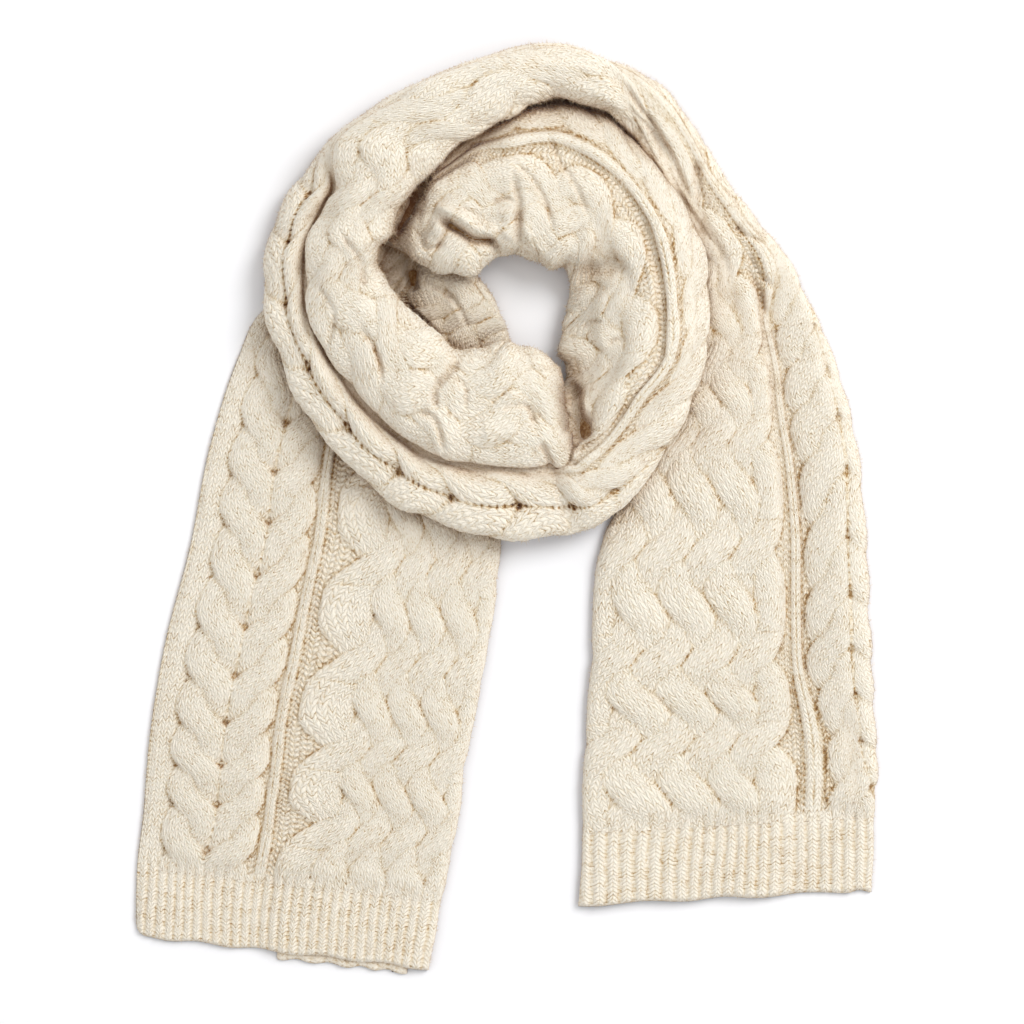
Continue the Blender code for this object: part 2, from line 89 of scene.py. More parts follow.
class Profile(Enum):
    """Shapes that the cloth takes across its width, from its outer edge to its tuck.

    Each has two rows of values, one for each rail in turn: across, which is 0 at a section's outer
    point and 1 at its inner point, and rise, which is 0 on the floor and 1 at the crest.
    """

    RIBBED = ((.000, .08, .21, .36, .40, .45, .50, .75, .94, 1.0, .985),
              (.300, .50, .58, .56, .56, .66, .86, 1.0, .96, .60, .100))
    TUCKED = ((.060, .01, .05, .135, .215, .28, .345, .64, .92, 1.0, .985),
              (.050, .30, .56, .56, .56, .66, .86, 1.0, .96, .60, .100))
    LAID = ((.010, .09, .24, .385, .41, .47, .56, .79, .955, 1.0, .985),
            (.300, .50, .62, .52, .52, .58, .86, 1.0, .96, .60, .100))
    EDGED = ((.070, .01, .06, .22, .26, .30, .345, .66, .93, 1.0, .985),
             (.050, .30, .86, .48, .62, .66, .86, 1.0, .96, .60, .100))
    TURNED = ((.060, .01, .05, .135, .215, .28, .345, .64, .92, 1.0, .985),
              (.050, .30, .74, .50, .62, .64, .86, 1.0, .96, .60, .100))
    CREASED = ((.030, .00, .14, .295, .345, .36, .375, .69, .93, 1.0, .95),
               (.060, .22, .48, .56, .51, .53, .68, 1.0, .86, .50, .12))
    ROLLED = ((.120, .05, .00, .00, .02, .05, .09, .55, .90, 1.0, .93),
              (.040, .15, .38, .62, .70, .78, .86, 1.0, .80, .48, .12))
    GATHERED = ((.000, .03, .08, .14, .18, .22, .26, .60, .90, 1.0, .96),
                (.100, .20, .38, .55, .62, .70, .78, 1.0, .88, .50, .15))
    CROSSING = ((.000, .04, .12, .21, .27, .335, .43, .73, .93, 1.0, .95),
                (.100, .30, .62, .80, .86, .84, .90, 1.0, .85, .50, .15))
    SHELTERED = ((-.12, -.02, .09, .20, .27, .335, .43, .73, .93, 1.0, .95),
                 (.060, .18, .52, .78, .86, .84, .90, 1.0, .85, .50, .15))
    SLOPING = ((.000, .03, .10, .18, .26, .325, .43, .70, .90, 1.0, .98),
               (.100, .34, .70, .88, 1.0, .92, .95, .62, .38, .20, .05))
    EASING = ((.000, .04, .15, .30, .40, .46, .55, .77, .92, 1.0, .98),
              (.100, .34, .70, .88, 1.0, .92, .92, .62, .38, .20, .05))
    NARROWING = ((.000, .06, .21, .41, .52, .58, .65, .82, .94, 1.0, .98),
                 (.100, .35, .72, .88, .97, .89, .86, .58, .36, .20, .05))
    SHUTTING = ((.000, .08, .28, .52, .65, .72, .78, .89, .96, 1.0, .985),
                (.100, .35, .74, .89, .93, .85, .80, .54, .33, .19, .05))
    LEANING = ((.050, .00, .03, .09, .15, .30, .44, .66, .83, 1.0, .98),
               (.100, .32, .68, .92, .98, 1.0, .97, .86, .70, .50, .05))
    SHOULDERED = ((.070, .01, .05, .33, .38, .42, .46, .72, .93, 1.0, .985),
                  (.050, .30, .80, .52, .64, .66, .86, 1.0, .96, .60, .100))
    WIDENING = ((.070, .01, .055, .27, .31, .35, .39, .69, .93, 1.0, .985),
                (.050, .30, .84, .50, .63, .66, .86, 1.0, .96, .60, .100))
    CLOSING = ((.000, .10, .35, .62, .78, .85, .90, .95, .98, 1.0, .99),
               (.100, .35, .75, .90, .90, .82, .75, .50, .30, .18, .05))
    MERGING = ((.070, .00, .33, .70, .82, .88, .92, .95, .98, 1.0, .98),
               (.060, .22, .48, .55, .46, .40, .33, .24, .16, .10, .05))
    THIN = ((.000, .02, .15, .33, .38, .44, .50, .75, .94, 1.0, .98),
            (.300, .80, 1.0, 1.0, 1.0, 1.0, 1.0, 1.0, .95, .60, .20))


@dataclass(frozen=True)
class Section:
    """One line across the cloth, from its outer edge (left of travel) to its fold."""

    row: float        # distance along the cloth, in rows of the cable
    outer_x: float
    outer_y: float
    inner_x: float
    inner_y: float
    floor_out: float  # height of the underside at the outer point
    floor_in: float   # height of the underside at the inner point
    crest: float      # highest plain cloth of the section
    profile: Profile
    shown: float      # distance from the outer edge, on the chart, of the cloth that lies at the fold


def sections(*rows: tuple) -> tuple[Section, ...]:
    """Sections from the rows of a table."""
    return tuple(Section(*row) for row in rows)


# Where the cloth is rolled under or pressed into a crease: for a row of the cable, the columns of the
# chart that lie on the rails "selvedge", "plait", "gutter" and "woven".
ROLLED = (
    (-1.0, 0, 55, 92, 128), (13.0, 0, 55, 92, 128), (16.4, 30, 68, 92, 128), (19.0, 52, 74, 92, 121),
    (27.6, 52, 72, 92, 121), (29.2, 40, 62, 88, 124), (30.7, 29, 55, 77, 128), (41.0, 29, 55, 77, 128),
    (44.5, 45, 68, 92, 128), (47.5, 62, 80, 95, 128), (49.2, 74, 88, 97, 128), (51.5, 70, 86, 96, 124),
    (54.0, 44, 60, 92, 124), (56.0, 36, 55, 92, 126), (60.5, 36, 55, 92, 128), (62.4, 37, 55, 86, 128),
    (64.2, 50, 68, 87, 128), (66.0, 52, 70, 87, 128),
)

# The loop's cloth is drawn out along its length: rows of the chart that are lost by each row.
DRAWN_OUT = ((-1.0, 0), (30.0, 0), (50.0, 4), (66.0, 4))

# How strongly the stitches part between the plait's two ropes, by row of the cable.
PARTED = ((-1.0, 0.2), (14.0, 0.3), (20.0, 0.8), (30.0, 1.4), (49.0, 1.4), (56.0, 0.8), (66.0, 0.3))

# How much more the plait stands out where it is bent round the outside of the loop, by row.
BOLD = ((-1.0, 0), (28.5, 0), (31.5, 0.6), (42.0, 0.6), (47.0, 0), (66.0, 0))

# mm, how far the cloth rises and falls by hand and use, by row: most where it is wound.
UNEVEN = ((-1.0, 0.6), (13.0, 0.6), (17.0, 1.7), (49.0, 1.7), (55.0, 0.7), (66.0, 0.6))

BOLD_BLEND = 15.0   # mm across the cloth over which that fades out beside the plait
BOLD_LEVEL = 1.5    # mm, height that it leaves as it is
HEM_BLEND = 0.5     # rows over which the cables run into a hem's ribs
HEM_SHOWS = 0.2     # share of the cables below which the hem's stitches show
HEM_SHADE = 0.3     # share of its painted shade that a hollow keeps there
HOLLOWS = ((3, 0.7), (16, 0.08))  # how smooth the level is that a hollow's painted shade is measured from, and its share
# Most painted shade that a point is given
DEEPEST = 0.8
SHALLOW = (1.6, -0.2)    # factor and level by which a hollow's painted shade follows the room of its stitches
DRAWN = (0.84, 190, 60)  # share of the relief where 190 mm of chart show, and how many more until it is 1
TIGHTEST = 0.08     # least room that the stitches are given, against what the chart gives them
LEG_RIDGE = 0.55    # mm, rise from the edge of a column of stitches to its middle
ROW_RIDGE = 0.16    # mm, rise and fall from stitch to stitch
BAR_RIDGE = 0.7     # mm, rise and fall from one purl bar to the next
BAR_SHADE = 0.13    # painted shade of the purl ground
BAR_LIGHT = 0.11    # how much less painted shade its bars get
OUTER_EDGE = 6.0    # mm from the outer edge over which the relief comes in
INNER_EDGE = 10.0   # and from the tuck
END_WALL = 0.25     # share of its height that the cloth keeps at a rounded end
END_REACH = 30.0    # mm over which the cloth is drawn in behind it

# The band from the left hem up, under the loop and into its rise.
FIRST_PASS = sections(
    # row  outer x, y     inner x, y  floor out, in  crest profile  shown
    (-0.5, -296, -344, -62, -371, 0, 0, 9.5, Profile.RIBBED, 256),
    (1.2, -295, -289, -53, -315, 0, 0, 9.5, Profile.RIBBED, 256),
    (2.5, -292, -241, -43, -269, 0, 0, 9.5, Profile.LAID, 256),
    (4.5, -287, -180, -33, -204, 0, 0, 9.5, Profile.LAID, 256),
    (6.5, -275, -108, -19, -132, 0, 0, 9.5, Profile.LAID, 256),
    (8.5, -255, -31, -7, -53, 0, 0, 9.5, Profile.LAID, 256),
    (10.5, -240, 45, -1, 25, 0, 0, 9.5, Profile.LAID, 256),
    (12.5, -216, 120, 2, 93, 0, 0, 9.5, Profile.LAID, 256),
    (13.8, -195, 158, 2, 129, 0, 0, 10.0, Profile.LAID, 230),
    (15.2, -135, 184, -11, 163, 0, 0, 13.0, Profile.LAID, 190),
    (16.1, -112, 206, -23, 183, 0, 0, 15.0, Profile.LAID, 176),
    (17.0, -100, 244, -40, 200, 0, 0, 15.0, Profile.LAID, 170),
)

# From the bunched start of the loop, over the opening and down its right side.
LOOP_START = sections(
    (15.3, -96, 262, -104, 214, 0, 0, 13, Profile.GATHERED, 176),
    (16.4, -66, 258, -76, 200, 20, 20, 30, Profile.GATHERED, 180),
    (16.9, -60, 270, -66, 194, 20, 20, 38, Profile.GATHERED, 184),
    (17.5, -53, 280, -53, 189, 14, 22, 43, Profile.GATHERED, 190),
    (18.4, -26, 304, -27, 186, 4, 20, 46, Profile.GATHERED, 205),
    (19.4, 8, 319, -5, 202, 0, 4, 46, Profile.SHELTERED, 196),
    (20.3, 43, 326, 18, 200, 0, 0, 46, Profile.SHELTERED, 200),
    (21.3, 78, 313, 37, 194, 4, 0, 46, Profile.SHELTERED, 200),
    (22.2, 107, 288, 50, 189, 13, 0, 47, Profile.CROSSING, 196),
    (23.2, 136, 250, 53, 168, 15, 2, 49, Profile.SLOPING, 194),
    (24.2, 154, 211, 48, 149, 15, 4, 51, Profile.SLOPING, 196),
    (25.2, 160, 167, 46, 129, 15, 4, 52, Profile.SLOPING, 196),
    (26.2, 158, 124, 48, 108, 15, 4, 52, Profile.SLOPING, 192),
    (27.2, 146, 82, 42, 84, 15, 6, 50, Profile.EASING, 184),
    (28.1, 126, 44, 44, 64, 15, 10, 48, Profile.NARROWING, 172),
    (28.9, 102, 12, 46, 50, 15, 15, 46, Profile.SHUTTING, 160),
    (29.6, 76, -12, 50, 41, 15, 15, 45, Profile.CLOSING, 156),
    (30.7, 40, -21, 32.4, 39.5, 15, 15, 50, Profile.MERGING, 208),
)

# Under the opening, up its left side, over the top and down as the right tail.
SECOND_PASS = sections(
    (29.65, 72, -13, 44, 107, 15, 15, 40, Profile.CREASED, 196),
    (30.7, 40, -21, 22, 123, 15, 15, 50, Profile.CREASED, 208),
    (31.9, -7, -20, -2, 126, 15, 15, 55, Profile.CREASED, 210),
    (33.2, -61, -6, -34, 120, 15, 15, 57, Profile.CREASED, 205),
    (34.5, -102, 17, -61, 138, 15, 17, 58, Profile.CREASED, 204),
    (35.7, -141, 57, -84, 158, 15, 20, 58, Profile.CREASED, 198),
    (37.0, -172, 108, -100, 180, 15, 20, 57, Profile.CREASED, 191),
    (38.2, -187, 161, -105, 197, 9, 20, 56, Profile.CREASED, 187),
    (39.4, -185, 210, -97, 216, 0, 20, 55, Profile.CREASED, 188),
    (40.7, -168, 249, -81, 243, 0, 20, 54, Profile.CREASED, 187),
    (42.0, -134, 293, -58, 271, 0, 24, 54, Profile.ROLLED, 195),
    (43.3, -86, 325, -29, 294, 0, 24, 54, Profile.ROLLED, 185),
    (44.6, -27, 352, 6, 314, 0, 23, 53, Profile.ROLLED, 175),
    (45.9, 30, 364, 38, 329, 0, 18, 52, Profile.ROLLED, 167),
    (47.1, 80, 353, 75, 318, 0, 16, 47, Profile.ROLLED, 165),
    (48.2, 119, 333, 103, 295, 0, 4, 39, Profile.LEANING, 166),
    (49.2, 148, 300, 117, 266, 0, 0, 30, Profile.LEANING, 168),
    (50.0, 165, 270, 127, 239, 0, 0, 24, Profile.LEANING, 168),
    (51.0, 188, 240, 140, 214, 0, 0, 18, Profile.LEANING, 168),
    (52.4, 219, 202, 147, 178, 0, 0, 14, Profile.LEANING, 178),
    (53.9, 246, 151, 147, 132, 0, 0, 10, Profile.SHOULDERED, 192),
    (55.5, 266, 99, 138, 85, 0, 0, 9.5, Profile.SHOULDERED, 208),
    (57.2, 281, 33, 105, 25, 0, 0, 9.5, Profile.WIDENING, 236),
    (58.5, 286, -32, 75, -36, 0, 0, 9.5, Profile.EDGED, 256),
    (60.5, 289, -115, 69, -123, 0, 0, 9.5, Profile.EDGED, 256),
    (62.5, 294, -185, 64, -193, 0, 0, 9.5, Profile.TURNED, 256),
    (64.2, 296, -247, 62, -260, 0, 0, 9.5, Profile.TUCKED, 256),
    (66.0, 294, -308, 59, -320, 0, 0, 9.5, Profile.TUCKED, 256),
)

# The layer of each hem that is folded under it.
FIRST_UNDER = sections(
    (-0.64, -184, -362, -79, -374, 0, 0, 4.4, Profile.THIN, 256),
    (1.2, -178, -302, -76, -313, 0, 0, 4.4, Profile.THIN, 256),
)
SECOND_UNDER = sections(
    (64.2, 184, -253, 80, -259, 0, 0, 4.4, Profile.THIN, 256),
    (65.9, 180, -310, 77, -315, 0, 0, 4.4, Profile.THIN, 256),
)


@dataclass(frozen=True)
class Crease:
    """A soft fold pressed into the cloth by hand, along a line of points in the tables' own places."""

    height: float      # mm, a ridge above zero and a trough below
    half_width: float  # mm
    line: tuple[tuple[float, float], ...]

    def shape(self, x: Array, y: Array) -> Array:
        """Height of the fold, which fades out towards its ends.

        Args:
            x: First coordinate of each place, in the frame.
            y: Second coordinate of each place.

        Returns:
            The height at each place.
        """
        steps, fading, faded = 24, 4, 0.25
        knots = np.linspace(0, 1, len(self.line))
        path = smooth(knots, np.array(self.line, float) + ORIGIN, np.linspace(0, 1, steps + 1))
        nearest = np.full(np.shape(x), np.inf)
        share = np.zeros(np.shape(x))
        for number, (start, end) in enumerate(zip(path[:-1], path[1:])):
            run = end - start
            part = (x - start[0]) * run[0] + (y - start[1]) * run[1]
            part = np.clip(part / max(run @ run, LEAST), 0, 1)
            away = np.hypot(x - start[0] - part * run[0], y - start[1] - part * run[1])
            closer = away < nearest
            nearest = np.where(closer, away, nearest)
            share = np.where(closer, (number + part) / steps, share)
        fade = ease(fading * share + faded) * ease(fading * (1 - share) + faded)
        return self.height * fade * np.exp(-(nearest / self.half_width) ** 2)


# The rise of the first pass: the slots that open along the loop and under its bunched start.
RISE_CREASES = (
    Crease(-9.0, 3.6, ((-81, 160), (-63, 141), (-47, 128), (-36, 119))),
    Crease(-6.0, 4.5, ((-76, 190), (-74, 180), (-73, 171))),
    Crease(-2.0, 2.0, ((-66, 178), (-48, 170), (-36, 156), (-30, 140))),
)

# The loop's bunched start and its right side.
START_CREASES = (
    # A rolled lip, and the groove under it.
    Crease(5.5, 4.6, ((-61, 238), (-46, 232), (-35, 227), (-24, 220), (-12, 218), (-6, 221))),
    Crease(-9.0, 3.6, ((-54, 229), (-43, 222), (-34, 216), (-26, 211), (-13, 209), (-4, 204))),
    # A pocket.
    Crease(-9.0, 3.6, ((-71, 250), (-76, 236), (-82, 227), (-88, 216))),
    # A ball of cloth, and the groove round it.
    Crease(4.5, 7.0, ((-59, 221), (-50, 215))),
    Crease(-3.5, 2.2, ((-66, 217), (-63, 205), (-55, 205), (-49, 211))),
    # The bunched start.
    Crease(3.0, 5.0, ((-71, 236), (-74, 215), (-69, 198))),
    Crease(-1.8, 1.6, ((-35, 236), (-26, 232), (-18, 227))),
    Crease(-2.4, 1.8, ((-12, 240), (-1, 243), (8, 239))),
    Crease(3.5, 6.0, ((0, 235), (2, 225), (-2, 214))),
    Crease(-4.5, 3.0, ((5, 262), (10, 240), (10, 223), (11, 208))),
    Crease(3.0, 4.0, ((14, 226), (21, 213), (31, 204), (44, 197))),
    Crease(-2.6, 2.2, ((5, 271), (19, 260), (31, 241), (37, 220))),
    Crease(-2.4, 2.2, ((34, 293), (43, 273), (55, 253), (67, 225))),
    # A hollow inside the loop's right side, its far lip, and the dark pocket below.
    Crease(-6.0, 7.0, ((51, 186), (68, 188), (84, 190), (94, 184), (97, 172), (98, 156))),
    Crease(2.6, 3.4, ((104, 208), (113, 188), (115, 171), (109, 150))),
    Crease(-9.0, 7.0, ((51, 100), (55, 82), (59, 64), (62, 52))),
    Crease(-2.2, 2.0, ((62, 142), (70, 147), (78, 146))),
    Crease(-2.2, 2.0, ((82, 128), (88, 132), (95, 131))),
)

# The second pass: the inner side of the loop, its top, and the shoulder of the right tail.
SECOND_CREASES = (
    Crease(-2.8, 2.2, ((-130, 215), (-116, 194), (-111, 171))),
    Crease(-2.2, 2.2, ((-148, 176), (-135, 150), (-141, 126))),
    Crease(-2.8, 2.2, ((-116, 144), (-101, 120), (-97, 98))),
    Crease(-4.5, 3.2, ((-55, 76), (-56, 91), (-46, 104), (-37, 117))),
    Crease(-2.4, 2.0, ((-32, 76), (-31, 91), (-41, 103))),
    Crease(-3.2, 2.2, ((-4, 76), (11, 80), (19, 76), (24, 60))),
    Crease(-3.8, 2.6, ((-70, 75), (-58, 71), (-52, 60), (-48, 44))),
    Crease(-4.2, 3.0, ((27, 51), (32, 42), (37, 30))),
    # The pocket where the second pass rises over the first.
    Crease(-16.0, 8.0, ((48, 101), (50, 84), (52, 68), (56, 56))),
    # Broad swells, and the grooves of the top and the shoulder.
    Crease(3.0, 13.0, ((-104, 166), (-84, 124))),
    Crease(2.6, 9.0, ((-20, 60), (10, 58))),
    Crease(-3.0, 4.0, ((108, 313), (121, 293), (133, 277))),
    Crease(-5.0, 3.6, ((151, 276), (152, 256), (154, 242))),
    Crease(-3.0, 2.0, ((182, 225), (192, 216), (207, 210))),
    Crease(-3.4, 2.2, ((192, 203), (202, 186), (213, 175))),
    Crease(-4.0, 2.8, ((193, 192), (202, 172), (208, 150))),
)


def smooth(knots: Array, values: Array, at: Array) -> Array:
    """Cubic through the values at the knots, with tangents kept from overshooting.

    Args:
        knots: Rising places of the values.
        values: One value, or one row of values, for each knot.
        at: Places to read, held within the knots.

    Returns:
        The value at each place.
    """
    knots = np.asarray(knots, float)
    values = np.asarray(values, float)
    at = np.clip(at, knots[0], knots[-1])
    steps = np.diff(knots)
    slopes = np.diff(values, axis=0) / steps.reshape((-1,) + (1,) * (values.ndim - 1))
    tangents = np.empty_like(values)
    tangents[0], tangents[-1] = slopes[0], slopes[-1]
    before, after = slopes[:-1], slopes[1:]
    mean = 0.5 * (before + after)
    limit = 3 * np.minimum(np.abs(before), np.abs(after))
    kept = np.sign(mean) * np.minimum(np.abs(mean), limit)
    at_peaks = 0.25  # share of the tangent that is kept where the values turn back
    tangents[1:-1] = np.where(before * after > 0, kept, at_peaks * mean)
    place = np.clip(np.searchsorted(knots, at, side="right") - 1, 0, len(steps) - 1)
    shape = place.shape + (1,) * (values.ndim - 1)
    step = steps[place].reshape(shape)
    s = ((at - knots[place]) / steps[place]).reshape(shape)
    return ((2 * s**3 - 3 * s**2 + 1) * values[place] + (s**3 - 2 * s**2 + s) * step * tangents[place]
            + (3 * s**2 - 2 * s**3) * values[place + 1] + (s**3 - s**2) * step * tangents[place + 1])


def ease(s: Array) -> Array:
    """Smooth step from 0 to 1."""
    s = np.clip(s, 0, 1)
    return s * s * (3 - 2 * s)


@dataclass(frozen=True)
class Drift:
    """Slow, even unevenness: a sum of waves in seeded directions."""

    size: float
    wavelength: float  # of the middle one of the waves
    seed: int
    waves: int = 6

    def at(self, x: Array, y: Array) -> Array:
        """Read the unevenness.

        Args:
            x: First coordinate of each place.
            y: Second coordinate of each place.

        Returns:
            A value of about -size to size at each place.
        """
        draw = np.random.default_rng(self.seed)
        total = np.zeros(np.broadcast(x, y).shape)
        for _ in range(self.waves):
            angle, phase = draw.uniform(0, 2 * np.pi, 2)
            pace = 2 * np.pi / (self.wavelength * draw.uniform(0.7, 1.5))
            total += np.sin(pace * (np.cos(angle) * x + np.sin(angle) * y) + phase)
        return self.size * total * (0.6 / np.sqrt(self.waves / 2))


SIDEWAYS = Drift(0.7, 70, 3)     # mm, how far the columns of stitches lie out of line
LENGTHWAYS = Drift(0.03, 90, 5)  # rows of the cable, how far the rows do
SMALL_SWELLS = Drift(0.6, 40, 7)
LARGE_SWELLS = Drift(0.8, 95, 8)
RAGGED_END = Drift(0.8, 34, 11)  # mm, along the end of a hem


def soften(grid: Array, passes: int) -> Array:
    """Blur a grid of values.

    Args:
        grid: The values.
        passes: How often each of them is mixed with its neighbours.

    Returns:
        The blurred grid.
    """
    for _ in range(passes):
        for axis in (0, 1):
            padded = np.pad(grid, [(1, 1) if k == axis else (0, 0) for k in (0, 1)], mode="edge")
            before = np.take(padded, range(grid.shape[axis]), axis)
            after = np.take(padded, range(2, grid.shape[axis] + 2), axis)
            grid = 0.25 * before + 0.5 * grid + 0.25 * after
    return grid


# --- The knitting chart ------------------------------------------------------------------------


class Fabric(Enum):
    """The two faces of the knitting, in the order of a sheet's materials."""

    KNIT = 0
    PURL = 1


@dataclass
class Layer:
    """What one strand or ground of the chart does at each point of a sheet."""

    height: Array  # mm above the plain cloth, below zero where the layer isn't
    across: Array  # in stitches
    along: Array   # in rows of stitches
    fabric: Fabric


@dataclass(frozen=True)
class Chart:
    """The knitting chart between the hems. Its columns are millimetres from the outer edge."""

    row: float = 36.0           # one row of the woven cable
    stitch: float = 4.5
    stitch_row: float = 4.3
    wide_stitch: float = 5.6    # in the purl ground and the edge strip
    strip: float = 20.0
    plait: float = 70.0
    rope_repeat: float = 37.86
    rope_phase: float = 0.1
    rope_half: float = 0.73     # half-width of a rope's strand, in pitches
    rope_swell: float = 0.03    # how much wider it is where it crosses over
    rope_slack: float = 1.06    # length of a rope's strand for each length of cloth
    rib_middle: float = 103.0
    rib: float = 10.0
    cord_half: float = 0.3      # half-width of one of the rib's two cords, in ribs
    woven_start: float = 126.0
    woven: float = 130.0
    woven_strands: int = 8
    woven_half: float = 0.81    # half-width of a strand of the woven cable, in pitches
    woven_swell: float = 0.02
    relief_woven: float = 3.5
    relief_plait: float = 4.2
    relief_rib: float = 2.6
    relief_strip: float = 1.2
    roundness: float = 0.6      # power of a strand's round section
    crossing: float = 1.6       # how far a strand is raised where it crosses over
    flatter: float = 0.5        # between the strands that run to the fold and the crisp ones back
    turn_reach: float = 0.955   # pitches: keeps the path smooth from the last crossing round to the next
    turn_spread: float = 0.25   # how much wider a strand is on the inner side of its turn
    turn_draw: float = -0.10    # and on the outer side
    turn_lift: float = 0.25     # how far over its neighbours it lies there
    bunching: float = 0.28      # how much closer together its stitches are at its crossings
    apart: int = 10             # stitches between the maps of two strands, so that no two are alike
    hole: float = 1.0           # half-width of the small holes beside the crossings
    hole_stray: float = 0.12    # rows, how far they lie out of line
    hole_range: float = 0.45    # how much they differ in size
    # Painted shade of the small holes, then how far they are sunk
    hole_shade: float = 0.7
    hole_depth: float = 1.2
    hole_pace: float = 0.7      # how fast a hole fades along the cable, against across it
    rope_hole: tuple[float, ...] = (0.3, 0.25, 0.2)  # of one between the ropes: least, chance, parting
    rope_hole_pace: float = 0.6
    slit_breaks: tuple[float, float] = (2.9, 7.7)    # waves by which the slits come and go, by row
    overlap: float = 0.2        # pitches that a rope's strand may reach over the middle of the plait
    scatter: tuple[float, ...] = (9.1, 5.3, 37.0, 4.7)  # of the holes, by column, row, size and rope
    slit_half: float = 1.3      # half-width of the slits between the ropes, in holes
    none: float = -9.0          # height of a layer where there is none of it

    def strand(self, offset: Array, half_width: Array, relief: float, over: Array) -> Array:
        """Height of a round strand.

        Args:
            offset: Distance from the strand's middle.
            half_width: Half of its width.
            relief: Height of its crown.
            over: 1 where it crosses over, -1 where it goes under.

        Returns:
            The height, or `none` beside the strand.
        """
        inside = 1 - (offset / half_width) ** 2
        crown = relief * np.clip(inside, 0, 1) ** self.roundness
        return np.where(inside > 0, crown + self.crossing * over, self.none)

    def woven_layers(self, columns: Array, rows: Array) -> list[Layer]:
        """The eight strands of the woven cable.

        Args:
            columns: Column of each point.
            rows: Row of each point, in rows of the cable.

        Returns:
            One layer for each strand.
        """
        pitch = self.woven / self.woven_strands
        place = (columns - self.woven_start) / pitch - 0.5
        turns = 2 * self.woven_strands
        last = self.woven_strands - 1
        layers = []
        for number in range(self.woven_strands):
            phase = (rows + 2 * number) % turns
            outward = phase < self.woven_strands
            local = np.where(outward, phase, phase - self.woven_strands)
            part = local % 1
            step = np.floor(local) + ease(part)
            slope = 6 * part * (1 - part)
            bend = 0.5 * np.pi * (local - last + 0.5)
            leaving = 0.5 * np.pi * (local + 1.5)
            arc, pace = self.turn_reach, 0.5 * np.pi * self.turn_reach
            step = np.where(local > last - 0.5, last - 0.5 + arc * np.sin(bend), step)
            slope = np.where(local > last - 0.5, pace * np.cos(bend), slope)
            step = np.where(local < 0.5, 0.5 - arc * np.sin(leaving), step)
            slope = np.where(local < 0.5, -pace * np.cos(leaving), slope)
            way = np.where(outward, 1, -1)
            centre = np.where(outward, step, last - step)
            swing = np.where(local > last, np.sin(np.pi * local) ** 2, 0)
            over = np.where(local > last, self.turn_lift * swing, np.cos(np.pi * (local - 0.5)) * way)
            slope = slope * way * pitch / self.row
            lean = 1 / np.sqrt(1 + slope**2)
            offset = (place - centre) * pitch
            spread = np.where(offset * (centre - 0.5 * last) > 0, self.turn_draw, self.turn_spread)
            half = pitch * (self.woven_half + self.woven_swell * over) * (1 + spread * swing)
            height = self.strand(offset * lean, half, self.relief_woven - self.flatter * way, over)
            path = rows * self.row + self.bunching * self.row * np.sin(2 * np.pi * rows) / (2 * np.pi)
            across = offset * lean / self.stitch + number * self.apart
            along = (path + offset * slope * lean) / self.stitch_row
            layers.append(Layer(height, across, along, Fabric.KNIT))
        return layers

    def plait_layers(self, columns: Array, rows: Array) -> list[Layer]:
        """The two mirrored ropes of the plait, of two strands each.

        Args:
            columns: Column of each point.
            rows: Row of each point, in rows of the cable.

        Returns:
            One layer for each strand of a rope, which serves both ropes.
        """
        half = 0.5 * self.plait
        pitch = 0.5 * half
        inward = half - np.abs(columns - self.strip - half)
        repeats = self.rope_phase - rows * self.row / self.rope_repeat
        layers = []
        for number in (0, 1):
            phase = (repeats + number) % 2
            part = phase % 1
            way = np.where(phase < 1, 1, -1)
            centre = pitch * (0.5 + ease(phase) - ease(phase - 1))
            over = np.sin(np.pi * phase)
            slope = -6 * part * (1 - part) * way * pitch / self.rope_repeat
            lean = 1 / np.sqrt(1 + slope**2)
            offset = inward - centre
            width = pitch * (self.rope_half + self.rope_swell * over)
            height = self.strand(offset * lean, width, self.relief_plait, over)
            height = np.where(inward > -self.overlap * pitch, height, self.none)
            along = (self.rope_slack * rows * self.row + offset * slope * lean) / self.stitch_row
            across = offset * lean / self.stitch + (self.apart + number) * self.apart
            layers.append(Layer(height, across, along, Fabric.KNIT))
        return layers

    def plain_layers(self, columns: Array, rows: Array) -> list[Layer]:
        """The purl ground, the edge strip and the two cords of the rib.

        Args:
            columns: Column of each point.
            rows: Row of each point, in rows of the cable.

        Returns:
            One layer for each of them.
        """
        along = rows * self.row / self.stitch_row
        ground = Layer(0 * columns, columns / self.wide_stitch, along, Fabric.PURL)
        middle = 0.5 * self.strip
        strip = Layer(self.strand(columns - middle, middle, self.relief_strip, 0 * columns),
                      (columns - middle) / self.wide_stitch + 0.5, along, Fabric.KNIT)
        layers = [ground, strip]
        for side in (-0.25, 0.25):
            offset = columns - self.rib_middle - side * self.rib
            height = self.strand(offset, self.cord_half * self.rib, self.relief_rib, 0 * columns)
            layers.append(Layer(height, offset / (0.5 * self.rib) + 0.5, along, Fabric.KNIT))
        return layers

